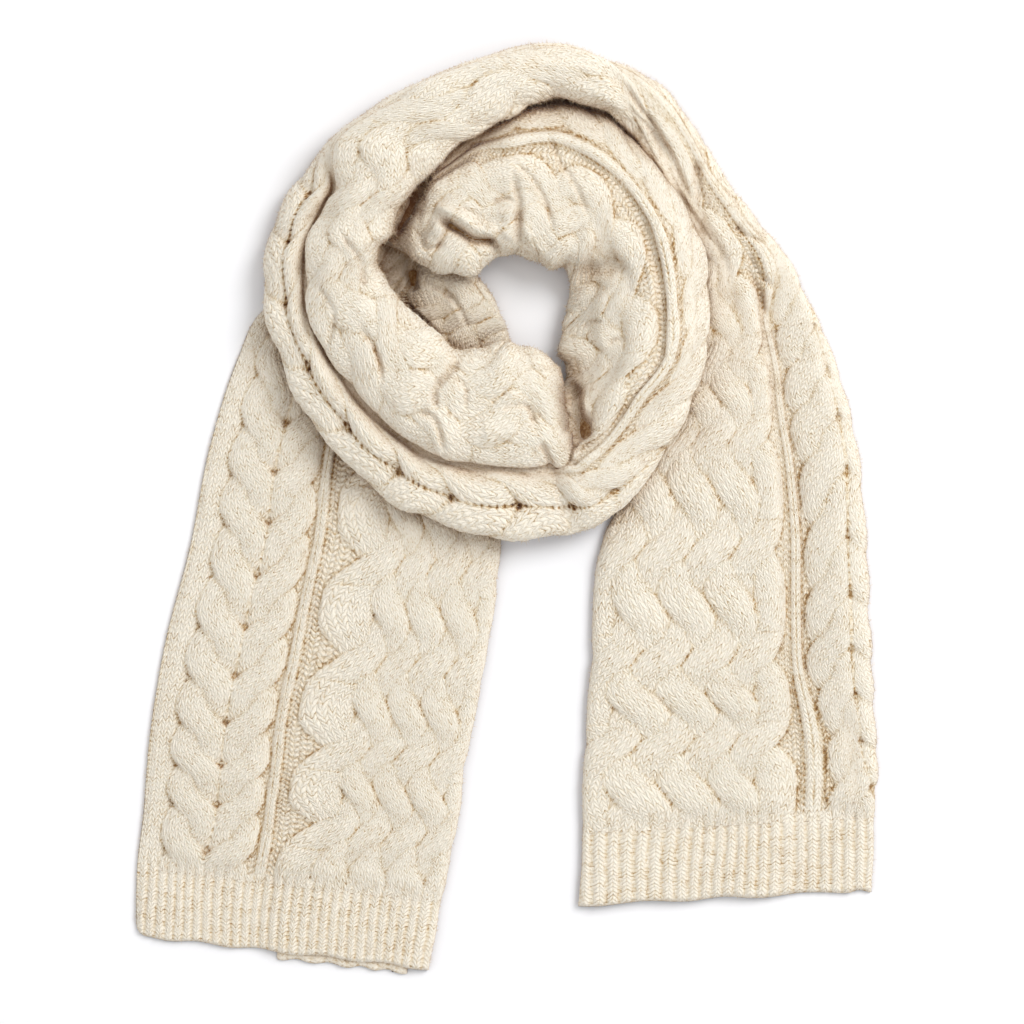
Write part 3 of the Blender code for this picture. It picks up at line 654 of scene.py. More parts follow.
    def pinholes(self, columns: Array, rows: Array) -> Array:
        """Where the crossings pull the stitches apart: 1 in the middle of each small hole.

        Args:
            columns: Column of each point.
            rows: Row of each point, in rows of the cable.

        Returns:
            The share of a hole at each point.
        """
        pitch = self.woven / self.woven_strands
        place = (columns - self.woven_start) / pitch
        odd = np.floor(rows) % 2
        nearest = 2 * np.round((place - odd) / 2) + odd
        inner = (nearest > 0.5) & (nearest < self.woven_strands - 0.5)
        by_column, by_row, by_size, by_rope = self.scatter
        chance = np.sin(by_column * nearest + by_row * np.floor(rows))
        beyond = (rows % 1 - 0.5 + self.hole_stray * chance) * self.row
        size = 1 - self.hole_range + self.hole_range * np.sin(by_size * chance)
        woven = size * self.dimple((place - nearest) * pitch, self.hole_pace * beyond)
        middle = columns - self.strip - 0.5 * self.plait
        turn = self.rope_phase - rows * self.row / self.rope_repeat + 0.5
        parted = np.interp(rows, *np.transpose(PARTED))
        least, by_chance, by_parting = self.rope_hole
        size = least + by_chance * np.sin(by_rope * np.round(turn)) + by_parting * np.minimum(parted, 1)
        ropes = size * self.dimple(middle, self.rope_hole_pace * (turn % 1 - 0.5) * self.rope_repeat)
        slit = np.clip(np.cos(2 * np.pi * rows * self.row / self.stitch_row), 0, 1) ** 2
        slit = slit * self.dimple(middle / self.slit_half, 0) * parted
        long_wave, short_wave = self.slit_breaks
        slit = slit * (0.6 + 0.4 * np.sin(long_wave * rows) * np.sin(short_wave * rows))
        return np.maximum(np.maximum(np.where(inner, woven, 0), ropes), slit)

    def dimple(self, beside: Array, beyond: Array) -> Array:
        """Share of a round hole at a distance from its middle in either direction."""
        return np.exp(-(beside**2 + beyond**2) / self.hole**2)

    def layers(self, columns: Array, rows: Array) -> list[Layer]:
        """Every layer of the chart at the points given.

        Args:
            columns: Column of each point.
            rows: Row of each point, in rows of the cable.

        Returns:
            The layers, the highest of which shows at each point.
        """
        return (self.plain_layers(columns, rows) + self.plait_layers(columns, rows)
                + self.woven_layers(columns, rows))


@dataclass(frozen=True)
class HemChart:
    """The single ribs of a hem: a knit column and a narrow purl hollow in each."""

    ribs: int = 31
    fold: float = 256.0
    row: float = 36.0
    stitch_row: float = 3.6
    relief: float = 1.3
    column: float = 0.72      # share of each rib that its knit column fills
    narrowness: int = 5       # power that gives the hollow its shape
    shade: float = 0.5        # share of its painted shade that a hollow keeps
    margin: float = 0.02      # of a stitch, what its legs keep clear of its edge

    def layers(self, columns: Array, rows: Array) -> list[Layer]:
        """The one layer of a hem.

        Args:
            columns: Column of each point.
            rows: Row of each point, in rows of the cable.

        Returns:
            A list of that layer.
        """
        across = columns * self.ribs / self.fold
        hollow = np.abs(np.cos(np.pi * across)) ** self.narrowness
        height = self.relief * (1 - hollow)
        part = across % 1
        part = np.clip(0.5 + (part - 0.5) / self.column, self.margin, 1 - self.margin)
        return [Layer(height, np.floor(across) + part, rows * self.row / self.stitch_row, Fabric.KNIT)]


# --- Cloth -------------------------------------------------------------------------------------


@dataclass
class Sheet:
    """A stretch of cloth: a fine outer face, a plain lining behind it and the rims between them."""

    name: str
    sections: tuple[Section, ...]
    rows: tuple[float, float]
    chart: Chart | HemChart = field(default_factory=Chart)
    hem_row: float | None = None      # row where the cables run into a hem's ribs
    rounded_row: float | None = None  # row where the cloth ends in a rounded edge
    rounding: float = 5.0     # mm, radius of that edge
    corner: float = 9.0       # mm, radius of its corners
    sunk: float = 0.0         # mm, dip of the last row into the cloth it is laid on
    grain: float = 1.15       # mm between points, across and along
    wall: float = 5.0         # mm, thickness of the cloth
    under: float = 0.03       # share of the width where the cloth folded beneath ends
    lining_step: float = 9.0  # mm between points of the lining
    unevenness: float = 1.0   # share of the cloth's usual unevenness
    lift: float = 0.35        # mm from the floor to the underside
    held: str = "folded"      # how the cloth is kept in its shape
    creases: tuple[Crease, ...] = ()
    roots: tuple[Array, Array] | None = field(default=None, init=False)  # points and normals of the face

    def ground(self, rows: Array, columns: Array) -> tuple[Array, Array, Array]:
        """The plain cloth of the stretch.

        Args:
            rows: Rows to read.
            columns: Columns to read.

        Returns:
            Its outer points, shape (rows, columns, 3), the share of the width at each of them, and
            the height of the floor under them.
        """
        outer, inner, levels = self.frame(rows)
        across, rise = self.profile(rows, columns)
        floor = levels[:, :1] + (levels[:, 1:2] - levels[:, :1]) * np.clip(across, 0, 1)
        height = floor + rise * (levels[:, 2:] - floor)
        points = np.dstack([outer + (inner - outer) * across[:, :, None], height])
        return points, across, floor

    def frame(self, rows: Array) -> tuple[Array, Array, Array]:
        """Ends and levels of the sections at the rows given.

        Args:
            rows: Rows to read.

        Returns:
            The outer points, the inner points, and the two floors and the crest.
        """
        knots = [s.row for s in self.sections]
        ends = smooth(knots, [(s.outer_x, s.outer_y, s.inner_x, s.inner_y) for s in self.sections], rows)
        ends = ends + np.tile(ORIGIN, 2)
        levels = smooth(knots, [(s.floor_out, s.floor_in, s.crest) for s in self.sections], rows)
        return ends[:, None, :2], ends[:, None, 2:], np.maximum(levels, 0)

    def profile(self, rows: Array, columns: Array) -> tuple[Array, Array]:
        """Share of the width and of the height at the rows and columns given.

        Args:
            rows: Rows to read.
            columns: Columns to read.

        Returns:
            The two shares, each of shape (rows, columns).
        """
        knots = [s.row for s in self.sections]
        rails = list(RAILS.values())
        shares = []
        for values in (0, 1):
            along = smooth(knots, [s.profile.value[values] for s in self.sections], rows)
            shares.append(smooth(rails, along.T, columns).T)
        return shares[0], shares[1]

    def underside(self, rows: Array, shares: Array) -> Array:
        """Points under the cloth.

        Args:
            rows: Rows to read.
            shares: 1 at the foot of the fold, 0 at the foot of the outer edge.

        Returns:
            The points, shape (rows, shares, 3).
        """
        outer, inner, levels = self.frame(rows)
        across, _ = self.profile(rows, np.array([0.0, RAILS["tuck"]]))
        foot = across[:, :1] + (across[:, 1:] - across[:, :1]) * shares[None, :]
        low = levels[:, :1] + (levels[:, 1:2] - levels[:, :1]) * np.clip(foot, 0, 1) + self.lift
        return np.dstack([outer + (inner - outer) * foot[:, :, None], low])

    def column_line(self) -> Array:
        """Columns of the fine face.

        Returns:
            The columns, evenly spaced along the plain cloth.
        """
        columns = np.linspace(0, RAILS["tuck"], FINE)
        points, _, _ = self.ground(np.linspace(*self.rows, COARSE), columns)
        steps = np.linalg.norm(np.diff(points, axis=1), axis=2).mean(axis=0)
        reach = np.concatenate([[0], np.cumsum(steps)])
        return np.interp(np.linspace(0, reach[-1], int(reach[-1] / self.grain)), reach, columns)

    def chart_columns(self, rows: Array, columns: Array) -> Array:
        """Where the chart lies on the sheet.

        Args:
            rows: Rows of the sheet.
            columns: Columns of the sheet.

        Returns:
            The column of the chart at each of them, shape (rows, columns).
        """
        shown = smooth([s.row for s in self.sections], [s.shown for s in self.sections], rows)[:, None]
        start, fold = Chart.woven_start, RAILS["fold"]
        rolled = np.array(ROLLED, float)
        rails = [RAILS[name] for name in ("selvedge", "plait", "gutter", "rib", "woven", "crown")]
        shift = smooth(rolled[:, 0], rolled[:, 1:], rows) - [rails[k] for k in (0, 1, 2, 4)]
        shift = np.insert(np.pad(shift, ((0, 0), (0, 1))), 3, 0, axis=1)
        shift = smooth(rails, shift.T, columns).T
        return columns + shift + np.maximum(columns - start, 0) * (shown - fold) / (fold - start)

    def row_line(self, step: float, spare: int = 0) -> Array:
        """Evenly spaced rows.

        Args:
            step: Distance between them in millimetres.
            spare: How many there are beyond each end of the stretch.

        Returns:
            The rows.
        """
        length = (self.rows[1] - self.rows[0]) * self.chart.row
        count = max(3, int(round(length / step)) + 1)
        line = np.linspace(self.rows[0], self.rows[1], count)
        return line[0] + (line[1] - line[0]) * np.arange(-spare, count + spare)

    def worked(self, rows: Array, columns: Array,
               top: Array) -> tuple[Array, dict[str, Array], list[Layer]]:
        """What the chart and the hand do to the plain cloth.

        Args:
            rows: Rows of the points.
            columns: Columns of the points.
            top: Points of the plain cloth.

        Returns:
            How far each point is raised, the painted shade of each point by how deep it lies in the
            relief, how much room its stitches have, and the chart's layers.
        """
        place = (rows[:, None] * self.chart.row, columns[None, :])
        chart_columns = self.chart_columns(rows, columns) + SIDEWAYS.at(*place)
        lost = np.interp(rows, *np.transpose(DRAWN_OUT))[:, None]
        chart_rows = rows[:, None] - lost + LENGTHWAYS.at(*place)
        layers = self.chart.layers(chart_columns, chart_rows)
        height = np.max([layer.height for layer in layers], axis=0)
        share = 1.0
        if self.hem_row is not None:
            ribs = HemChart().layers(chart_columns, chart_rows)[0]
            share = np.broadcast_to(ease(np.abs(rows - self.hem_row) / HEM_BLEND)[:, None], height.shape)
            height = ribs.height + (height - ribs.height) * share
            shows = np.where(share < HEM_SHOWS, height + 1, Chart.none)
            layers.append(Layer(shows, ribs.across, ribs.along, Fabric.KNIT))
        # Painted shade: each point is darkened by how far it lies below a smoothed level of the relief.
        painted_shade = sum(part * (soften(height, passes) - height) for passes, part in HOLLOWS)
        painted_shade *= HEM_SHADE + (1 - HEM_SHADE) * share
        height = soften(height, passes=1)
        if isinstance(self.chart, Chart):
            holes = self.chart.pinholes(chart_columns, chart_rows)
            # More painted shade in the holes, which are also sunk.
            painted_shade += self.chart.hole_shade * holes
            height -= self.chart.hole_depth * holes
        else:
            painted_shade *= self.chart.shade
        raised, shade = self.single_stitches(layers)
        painted_shade = DEEPEST * np.tanh((painted_shade + shade) / DEEPEST)
        loose = self.looseness(rows, top, chart_columns)
        height = (height + raised) * loose
        painted_shade *= np.clip(SHALLOW[0] * loose + SHALLOW[1], 0, 1)
        # Where the plait stands out more, its painted shade is made as much stronger.
        bold = np.interp(rows, *np.transpose(BOLD))[:, None]
        bold = 1 + bold * ease((RAILS["rib"] - columns) / BOLD_BLEND)
        height = bold * height - BOLD_LEVEL * (bold - 1)
        uneven = np.interp(rows, *np.transpose(UNEVEN))[:, None] * self.unevenness
        height += uneven * (SMALL_SWELLS.at(*place) + LARGE_SWELLS.at(*place))
        for crease in self.creases:
            height += crease.shape(top[:, :, 0], top[:, :, 1])
        return height, {"painted_shade": painted_shade * bold, "room": loose}, layers

    def single_stitches(self, layers: list[Layer]) -> tuple[Array, Array]:
        """Relief of the single stitches of the layers that show.

        Args:
            layers: The chart's layers.

        Returns:
            How far each point is raised, and the painted shade of the purl ground, which lies deeper than
            its strand.
        """
        winner = np.argmax([layer.height for layer in layers], axis=0)
        across = np.choose(winner, [layer.across for layer in layers])
        along = np.choose(winner, [layer.along for layer in layers])
        purl = np.choose(winner, [np.full(1, layer.fabric is Fabric.PURL) for layer in layers])
        legs = LEG_RIDGE * np.abs(np.sin(np.pi * across)) + ROW_RIDGE * np.cos(2 * np.pi * along)
        bars = np.cos(2 * np.pi * (along + 0.5 * np.floor(across)))
        return np.where(purl, BAR_RIDGE * bars, legs), np.where(purl, BAR_SHADE - BAR_LIGHT * bars, 0)

    def face_points(self) -> tuple[Array, dict[str, Array], list[Layer]]:
        """The fine outer face.

        Returns:
            Its points with a spare row at each end, the painted shade of each of them by how deep it lies
            in the relief, how much room its stitches have, and the chart's layers without the spare rows.
        """
        rows = self.row_line(self.grain, SPARE)
        columns = self.column_line()
        top, _, floor = self.ground(rows, columns)
        height, marks, layers = self.worked(rows, columns, top)
        edge = ease(columns / OUTER_EDGE) * ease((RAILS["tuck"] - columns) / INNER_EDGE)
        top = top + self.section_normals(top) * (height * edge)[:, :, None]
        top[:, :, 2] -= self.sunk * ease(rows - self.rows[1] + 1)[:, None]
        if self.rounded_row is not None:
            near = np.clip(np.abs(rows - self.rounded_row) * self.chart.row / self.rounding, 0, 1)
            left = (END_WALL + (1 - END_WALL) * np.sqrt(1 - (1 - near) ** 2))[:, None]
            top[:, :, 2] = floor + (top[:, :, 2] - floor) * left
        top[:, :, 2] = np.maximum(top[:, :, 2], floor + self.lift)
        kept = slice(SPARE - 1, 1 - SPARE)
        rows, top = rows[kept], top[kept]
        shares = np.linspace(UNDER_START, self.under, UNDER_POINTS)
        outer_foot = self.underside(rows, np.array([0.0]))
        points = np.concatenate([outer_foot, top, self.underside(rows, shares)], axis=1)
        if self.rounded_row is not None:
            from_sides = np.concatenate([[0], np.minimum(columns, RAILS["tuck"] - columns),
                                         (shares[0] - shares) * RAILS["tuck"]])
            points = points + self.drawn_in(points, rows, from_sides)

        def shown(grid: Array) -> Array:
            """Values of the rows that are kept, carried on over the foot and the underside."""
            return np.pad(grid[SPARE:-SPARE], ((0, 0), (1, UNDER_POINTS)), mode="edge")

        marks = {mark: shown(grid) for mark, grid in marks.items()}
        inner = [Layer(shown(layer.height), shown(layer.across), shown(layer.along), layer.fabric)
                 for layer in layers]
        return points, marks, inner

    def drawn_in(self, points: Array, rows: Array, from_sides: Array) -> Array:
        """Shift that rounds the corners of the free end and leaves its edge a little uneven.

        Args:
            points: Points of the outer layer.
            rows: Their rows.
            from_sides: Distance of each column from the sides.

        Returns:
            The shift of each point.
        """
        from_end = np.abs(rows - self.rounded_row)[:, None] * self.chart.row
        near = 1 - np.clip(from_sides / self.corner, 0, 1)
        amount = self.corner * (1 - np.sqrt(1 - near**2)) + RAGGED_END.size + RAGGED_END.at(from_sides, 0)
        inward = np.gradient(points, axis=0)
        inward[:, :, 2] = 0
        inward /= np.maximum(np.linalg.norm(inward, axis=2, keepdims=True), LEAST)
        inward *= 1 if self.rounded_row < np.mean(self.rows) else -1
        return inward * (amount[None, :] * (1 - ease(from_end / END_REACH)))[:, :, None]

    def looseness(self, rows: Array, top: Array, chart_columns: Array) -> Array:
        """Share of the chart's relief that the cloth keeps where it is drawn out or squeezed.

        Args:
            rows: Rows of the points.
            top: Points of the plain cloth.
            chart_columns: Columns of the chart at them.

        Returns:
            The share at each point.
        """
        shown = smooth([s.row for s in self.sections], [s.shown for s in self.sections], rows)[:, None]
        least, narrow, blend = DRAWN
        drawn = least + (1 - least) * ease((shown - narrow) / blend)
        reach = np.linalg.norm(np.gradient(top, axis=1), axis=2)
        room = np.clip(reach / np.gradient(chart_columns, axis=1), TIGHTEST, 1.0)
        return drawn * soften(room, passes=6)

    def section_normals(self, points: Array) -> Array:
        """Way in which the relief is raised.

        Args:
            points: Points of the plain cloth.

        Returns:
            Its outward unit normals within the upright plane of each section.
        """
        across = np.gradient(points, axis=1)
        line = points[:, -2:-1, :] - points[:, :1, :]
        line[:, :, 2] = 0
        line /= np.linalg.norm(line, axis=2, keepdims=True)
        level = (across * line).sum(axis=2)
        normal = level[:, :, None] * np.array([0.0, 0.0, 1.0]) - across[:, :, 2:] * line
        return normal / np.maximum(np.linalg.norm(normal, axis=2, keepdims=True), LEAST)

    def lining_points(self) -> Array:
        """The plain inner face.

        Returns:
            Its points, drawn in from the outer face by the wall, or by less where the cloth is thin.
        """
        behind = 4       # mm that it keeps behind a rounded edge
        narrowest = 0.3  # most of its width that it is drawn in by
        lowest = 0.42    # most of the room above the floor that its top is lowered by
        highest = 0.3    # most of the room below the crest that its underside is raised by
        rows = self.row_line(self.lining_step)
        if self.rounded_row is not None:
            inset = (self.rounding + behind) / self.chart.row
            first, last = (inset, 0) if self.rounded_row < np.mean(self.rows) else (0, inset)
            rows = np.linspace(rows[0] + first, rows[-1] - last, len(rows))
        columns = np.linspace(0, RAILS["tuck"], int(RAILS["tuck"] / self.lining_step))
        top, across, floor = self.ground(rows, columns)
        outer, inner, _ = self.frame(rows)
        width = np.linalg.norm(inner - outer, axis=2)
        share = np.clip(2 * self.wall / width, 0, narrowest)
        drawn = 0.5 + (across - 0.5) * (1 - share)
        top[:, :, :2] = outer + (inner - outer) * drawn[:, :, None]
        room = top[:, :, 2] - floor
        top[:, :, 2] -= np.minimum(self.wall, lowest * room)
        count, start, sooner = LINING_UNDER
        low = self.underside(rows, np.linspace(start, min(self.under + sooner, start), count))
        crest = self.frame(rows)[2][:, 2:]
        low[:, :, 2] += np.minimum(self.wall, highest * (crest - low[:, :, 2]))
        return np.concatenate([top, low], axis=1)

    def build(self) -> bpy.types.Object:
        """Make the sheet as one closed mesh with its map, its painted shade and normals.

        Returns:
            The sheet's object.
        """
        points, marks, layers = self.face_points()
        pace_rows = np.gradient(points, axis=0)
        pace_columns = np.gradient(points, axis=1)
        normals = np.cross(pace_columns, pace_rows)[1:-1]
        normals /= np.maximum(np.linalg.norm(normals, axis=2, keepdims=True), LEAST)
        upper = slice(1, -UNDER_POINTS - 1)
        self.roots = (points[1:-1, upper].reshape(-1, 3), normals[:, upper].reshape(-1, 3))
        face = grid_object(self.name + "_cloth", points[1:-1])
        lining = grid_object(self.name + "_lining", self.lining_points()[:, ::-1])
        face_count = len(face.data.vertices)
        face_shape, lining_shape = points[1:-1].shape[:2], self.lining_points().shape[:2]
        map_stitches(face.data, layers)
        bpy.ops.object.select_all(action="DESELECT")
        lining.select_set(True)
        face.select_set(True)
        bpy.context.view_layer.objects.active = face
        bpy.ops.object.join()
        close_rims(face.data, face_shape, lining_shape)
        # Painted shade and room of each point; the lining and the rims get half of each.
        for mark, grid in marks.items():
            values = np.full(len(face.data.vertices), 0.5, np.float32)
            values[:face_count] = np.clip(grid, 0, 1).ravel()
            face.data.attributes.new(mark, "FLOAT", "POINT").data.foreach_set("value", values)
        face.data.shade_smooth()
        custom = np.empty(len(face.data.vertices) * 3, np.float32)
        face.data.vertices.foreach_get("normal", custom)
        custom = custom.reshape(-1, 3)
        custom[:face_count] = normals.reshape(-1, 3)
        face.data.normals_split_custom_set_from_vertices(custom.tolist())
        return face

    def flat_size(self) -> tuple[float, float]:
        """Size in metres of the flat cloth that this stretch shows, by its plain surface.

        Returns:
            Its width and its length.
        """
        rows = self.row_line(self.lining_step)
        over, below = 60, 10  # points that are enough to measure by
        top, _, _ = self.ground(rows, np.linspace(0, RAILS["tuck"], over))
        points = np.concatenate([top, self.underside(rows, np.linspace(1, self.under, below))], axis=1)
        width = np.linalg.norm(np.diff(points, axis=1), axis=2).sum(axis=1).mean()
        return round(width * MM, 3), round((self.rows[1] - self.rows[0]) * self.chart.row * MM, 3)

    def dress(self, piece: bpy.types.Object, materials: list[bpy.types.Material]) -> None:
        """Give the sheet its finish, put it on the body and hide the solid that it replaces.

        Args:
            piece: The sheet's object.
            materials: The finish of each face of the knitting.
        """
        for material in materials:
            piece.data.materials.append(material)
        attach(piece, BODY)
        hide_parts(self.name)
        width, length = self.flat_size()


def grid_object(name: str, points: Array) -> bpy.types.Object:
    """A sheet of quads, started from a grid and laid through the points.

    Args:
        name: Name of the object.
        points: Points in millimetres, shape (rows, columns, 3).

    Returns:
        The new object, with its points numbered row by row.
    """
    rows, columns = points.shape[:2]
    bpy.ops.object.select_all(action="DESELECT")
    bpy.ops.mesh.primitive_grid_add(x_subdivisions=columns - 1, y_subdivisions=rows - 1, size=1)
    sheet = bpy.context.active_object
    sheet.name = sheet.data.name = name
    while sheet.data.uv_layers:
        sheet.data.uv_layers.remove(sheet.data.uv_layers[0])
    sheet.data.vertices.foreach_set("co", (points * MM).astype(np.float32).ravel())
    sheet.data.update()
    return sheet


def map_stitches(mesh: bpy.types.Mesh, layers: list[Layer]) -> None:
    """Map each face by the stitches of the layer that is highest there.

    Args:
        mesh: A fine face, still without its lining.
        layers: The chart's layers at its points.
    """
    count = len(mesh.polygons)
    corners = np.empty(count * 4, np.int32)
    mesh.loops.foreach_get("vertex_index", corners)
    corners = corners.reshape(count, 4)
    heights = np.array([layer.height.ravel()[corners].mean(axis=1) for layer in layers])
    winner = heights.argmax(axis=0)
    across = np.array([layer.across.ravel() for layer in layers])[winner[:, None], corners]
    along = np.array([layer.along.ravel() for layer in layers])[winner[:, None], corners]
    stitches = mesh.uv_layers.new(name="stitches")
    stitches.uv.foreach_set("vector", np.dstack([across, along]).astype(np.float32).ravel())
    fabric = np.array([layer.fabric.value for layer in layers], np.int32)[winner]
    mesh.polygons.foreach_set("material_index", fabric)


def border(shape: tuple[int, int], start: int, flipped: bool) -> list[list[int]]:
    """Numbers of the points along the four sides of a grid, all the way round.

    Args:
        shape: Rows and columns of the grid.
        start: Number of its first point.
        flipped: Whether its columns run backwards.

    Returns:
        The four sides, each with both of its ends.
    """
    rows, columns = shape
    number = start + np.arange(rows * columns).reshape(rows, columns)
    if flipped:
        number = number[:, ::-1]
    return [list(number[0]), list(number[:, -1]), list(number[-1, ::-1]), list(number[::-1, 0])]


def close_rims(mesh: bpy.types.Mesh, face: tuple[int, int], lining: tuple[int, int]) -> None:
    """Join the fine face to its lining along all four sides.

    Args:
        mesh: The two grids in one mesh, the fine one first.
        face: Rows and columns of the fine grid.
        lining: Rows and columns of the lining, whose columns run backwards.
    """
    bm = bmesh.new()
    bm.from_mesh(mesh)
    bm.verts.ensure_lookup_table()
    outside = border(face, 0, False)
    inside = border(lining, face[0] * face[1], True)
    for outer, inner in zip(outside, inside):
        i = j = 0
        outer, inner = ([bm.verts[k] for k in side] for side in (outer, inner))
        while i < len(outer) - 1 or j < len(inner) - 1:
            reach_outer = (outer[i + 1].co - inner[j].co).length if i < len(outer) - 1 else np.inf
            reach_inner = (outer[i].co - inner[j + 1].co).length if j < len(inner) - 1 else np.inf
            if reach_outer <= reach_inner:
                bm.faces.new((outer[i + 1], outer[i], inner[j]))
                i += 1
            else:
                bm.faces.new((outer[i], inner[j], inner[j + 1]))
                j += 1
    bm.to_mesh(mesh)
    bm.free()


# --- Finish ------------------------------------------------------------------------------------


def linear(hex_colour: str) -> tuple[float, float, float, float]:
    """Linear colour of an sRGB hex value."""
    values = [int(hex_colour[k:k + 2], 16) / 255 for k in (1, 3, 5)]
    return (*[v / 12.92 if v <= 0.04045 else ((v + 0.055) / 1.055) ** 2.4 for v in values], 1.0)


@dataclass
class Finish:
    """One material, as its nodes are put together."""

    name: str
    values: dict[str, Any]  # by the shader's own sockets
    material: bpy.types.Material = field(init=False)

    def __post_init__(self) -> None:
        """Make the material and set its shader."""
        self.material = bpy.data.materials.new(self.name)
        self.material.use_nodes = True
        for socket, value in self.values.items():
            self.shader().inputs[socket].default_value = value

    def shader(self) -> bpy.types.Node:
        """The material's shader."""
        return self.material.node_tree.nodes["Principled BSDF"]

    def drive(self, socket: str, source: bpy.types.NodeSocket) -> None:
        """Link an output to a socket of the shader."""
        self.material.node_tree.links.new(source, self.shader().inputs[socket])

    def add(self, kind: str, *inputs: Any, out: int | str = 0, **settings: Any) -> bpy.types.NodeSocket:
        """Add a node with its settings and links.

        Args:
            kind: The node's type.
            inputs: For each socket in turn, a value or the output that is linked to it, or one dict
                of them by socket.
            out: The output that is wanted.
            settings: Values of the node's properties.

        Returns:
            That output.
        """
        node = self.material.node_tree.nodes.new("ShaderNode" + kind)
        for key, value in settings.items():
            setattr(node, key, value)
        by_name = inputs and isinstance(inputs[0], dict)
        for key, value in inputs[0].items() if by_name else enumerate(inputs):
            if isinstance(value, bpy.types.NodeSocket):
                self.material.node_tree.links.new(value, node.inputs[key])
            else:
                node.inputs[key].default_value = value
        return node.outputs[out]


@dataclass(frozen=True)
class Wool:
    """Undyed cream sheep's wool, loosely spun and knitted by hand.

    It has no gloss, only the sheen of many fine hairs. Its crowns are a chalky cream. Light that comes
    back through more yarn is warmer, and that shade is painted into the colour: honey between a
    stitch's legs, and brown in the creases.
    """

    # Colours from the cream of the crowns to the honey and browns of the painted shade
    tones: tuple[tuple[float, str], ...] = (
        (0.0, "#FAF2E2"), (0.25, "#EADBBF"), (0.55, "#BD9862"), (1.0, "#74481A"))
    shade: str = "#C8985C"      # painted shade, multiplied in where a hollow half shuts out the sky
    fine: float = 0.27          # strength of the painted shade between its legs
    speck: float = 0.9          # how dark the painted shade is in the gap of a loose stitch
    deepest: float = 2.4        # strength of the painted shade where the sky is shut out
    roughness: float = 0.92
    sheen: float = 0.3
    sheen_roughness: float = 0.5
    gloss: float = 0.15
    leg_slope: float = 2.0      # rows that a leg climbs for each stitch across
    leg_height: float = 0.9     # mm
    hair_height: float = 0.9    # of single hairs, against a leg's
    roundness: float = 0.6      # power of a leg's round section
    leg_side: float = 0.75      # share of its height that a leg loses at its sides
    bar_side: float = 0.7       # share of its height that a bar loses at its ends
    stray: tuple[float, float] = (0.5, 0.7)    # stitches across and rows along within which they stray
    broken: tuple[float, float] = (2.6, -0.6)  # how patchy the painted shade of a crease is: its swells' factor and level
    odd: float = 0.1            # how much warmer one stitch may be than the next
    spun: float = 0.8           # how uneven the spun yarn is
    dyed: float = 0.16          # how uneven the wool's own colour is
    hollow: float = 40.0        # mm, how far off cloth still shuts the sky out, for the painted shade
    # Unevenness, by the number of swells to the millimetre. Real hairs are much finer than the 1.1 mm
    # that is given to them here, which is as coarse as they need to show.
    hairs: float = 0.9
    yarn: float = 0.6           # one in 1.7 mm, about the thickness of a ply
    stitches: float = 0.26      # one in 3.8 mm, nearly a stitch
    hand: float = 0.15          # one in 6.7 mm, as columns knitted by hand run out of line
    dye: float = 0.06           # one in 17 mm, as fleece differs in colour

    def material(self, fabric: Fabric) -> bpy.types.Material:
        """The finish of one face of the knitting.

        Args:
            fabric: Which face.

        Returns:
            Its material.
        """
        finish = Finish(f"cream_wool_{fabric.name.lower()}_face", {
            "Roughness": self.roughness, "Sheen Weight": self.sheen,
            "Sheen Roughness": self.sheen_roughness, "Specular IOR Level": self.gloss})
        height = self.legs(finish) if fabric is Fabric.KNIT else self.bars(finish)
        room = finish.add("Attribute", out="Fac", attribute_name="room")
        raised = finish.add("Math", height, room, operation="MULTIPLY")
        total = finish.add("Math", self.fibre(finish, self.hairs), self.hair_height, raised,
                           operation="MULTIPLY_ADD")
        finish.drive("Normal", finish.add("Bump", {
            "Strength": 1.0, "Distance": self.leg_height * MM, "Height": total}))
        finish.drive("Base Color", self.colour(finish, height))
        return finish.material

    def places(self, finish: Finish) -> tuple[bpy.types.NodeSocket, bpy.types.NodeSocket]:
        """Place on the knitting, from the sheet's own map, a little out of line as by hand.

        Args:
            finish: The material.

        Returns:
            Stitches across and along.
        """
        across = finish.add("SeparateXYZ", finish.add("UVMap", uv_map="stitches"))
        along = across.node.outputs[1]
        sway, shift = (
            finish.add("Math", self.fibre(finish, swells), stray, -0.5 * stray, operation="MULTIPLY_ADD")
            for swells, stray in zip((self.hand, self.stitches), self.stray))
        return (finish.add("Math", across, sway, operation="ADD"),
                finish.add("Math", along, shift, operation="ADD"))

    def rounded(self, finish: Finish, value: bpy.types.NodeSocket) -> bpy.types.NodeSocket:
        """Round hump over each whole step of a value.

        Args:
            finish: The material.
            value: The value.

        Returns:
            1 in the middle of each step, 0 where the steps meet.
        """
        part = finish.add("Math", value, operation="FRACT")
        centred = finish.add("Math", part, 2.0, -1.0, operation="MULTIPLY_ADD")
        square = finish.add("Math", centred, centred, operation="MULTIPLY")
        inside = finish.add("Math", 1.0, square, operation="SUBTRACT")
        return finish.add("Math", inside, self.roundness, operation="POWER")

    def legs(self, finish: Finish) -> bpy.types.NodeSocket:
        """The two slanting legs of each knit stitch.

        Args:
            finish: The material.

        Returns:
            Their height.
        """
        across, along = self.places(finish)
        part = finish.add("Math", across, operation="FRACT")
        centred = finish.add("Math", part, 0.5, operation="SUBTRACT")
        away = finish.add("Math", centred, operation="ABSOLUTE")
        slanted = finish.add("Math", away, -self.leg_slope, along, operation="MULTIPLY_ADD")
        doubled = finish.add("Math", away, 2.0, operation="MULTIPLY")
        soft = finish.add("Math", self.rounded(finish, doubled), self.leg_side, 1 - self.leg_side,
                          operation="MULTIPLY_ADD")
        return finish.add("Math", self.rounded(finish, slanted), soft, operation="MULTIPLY")

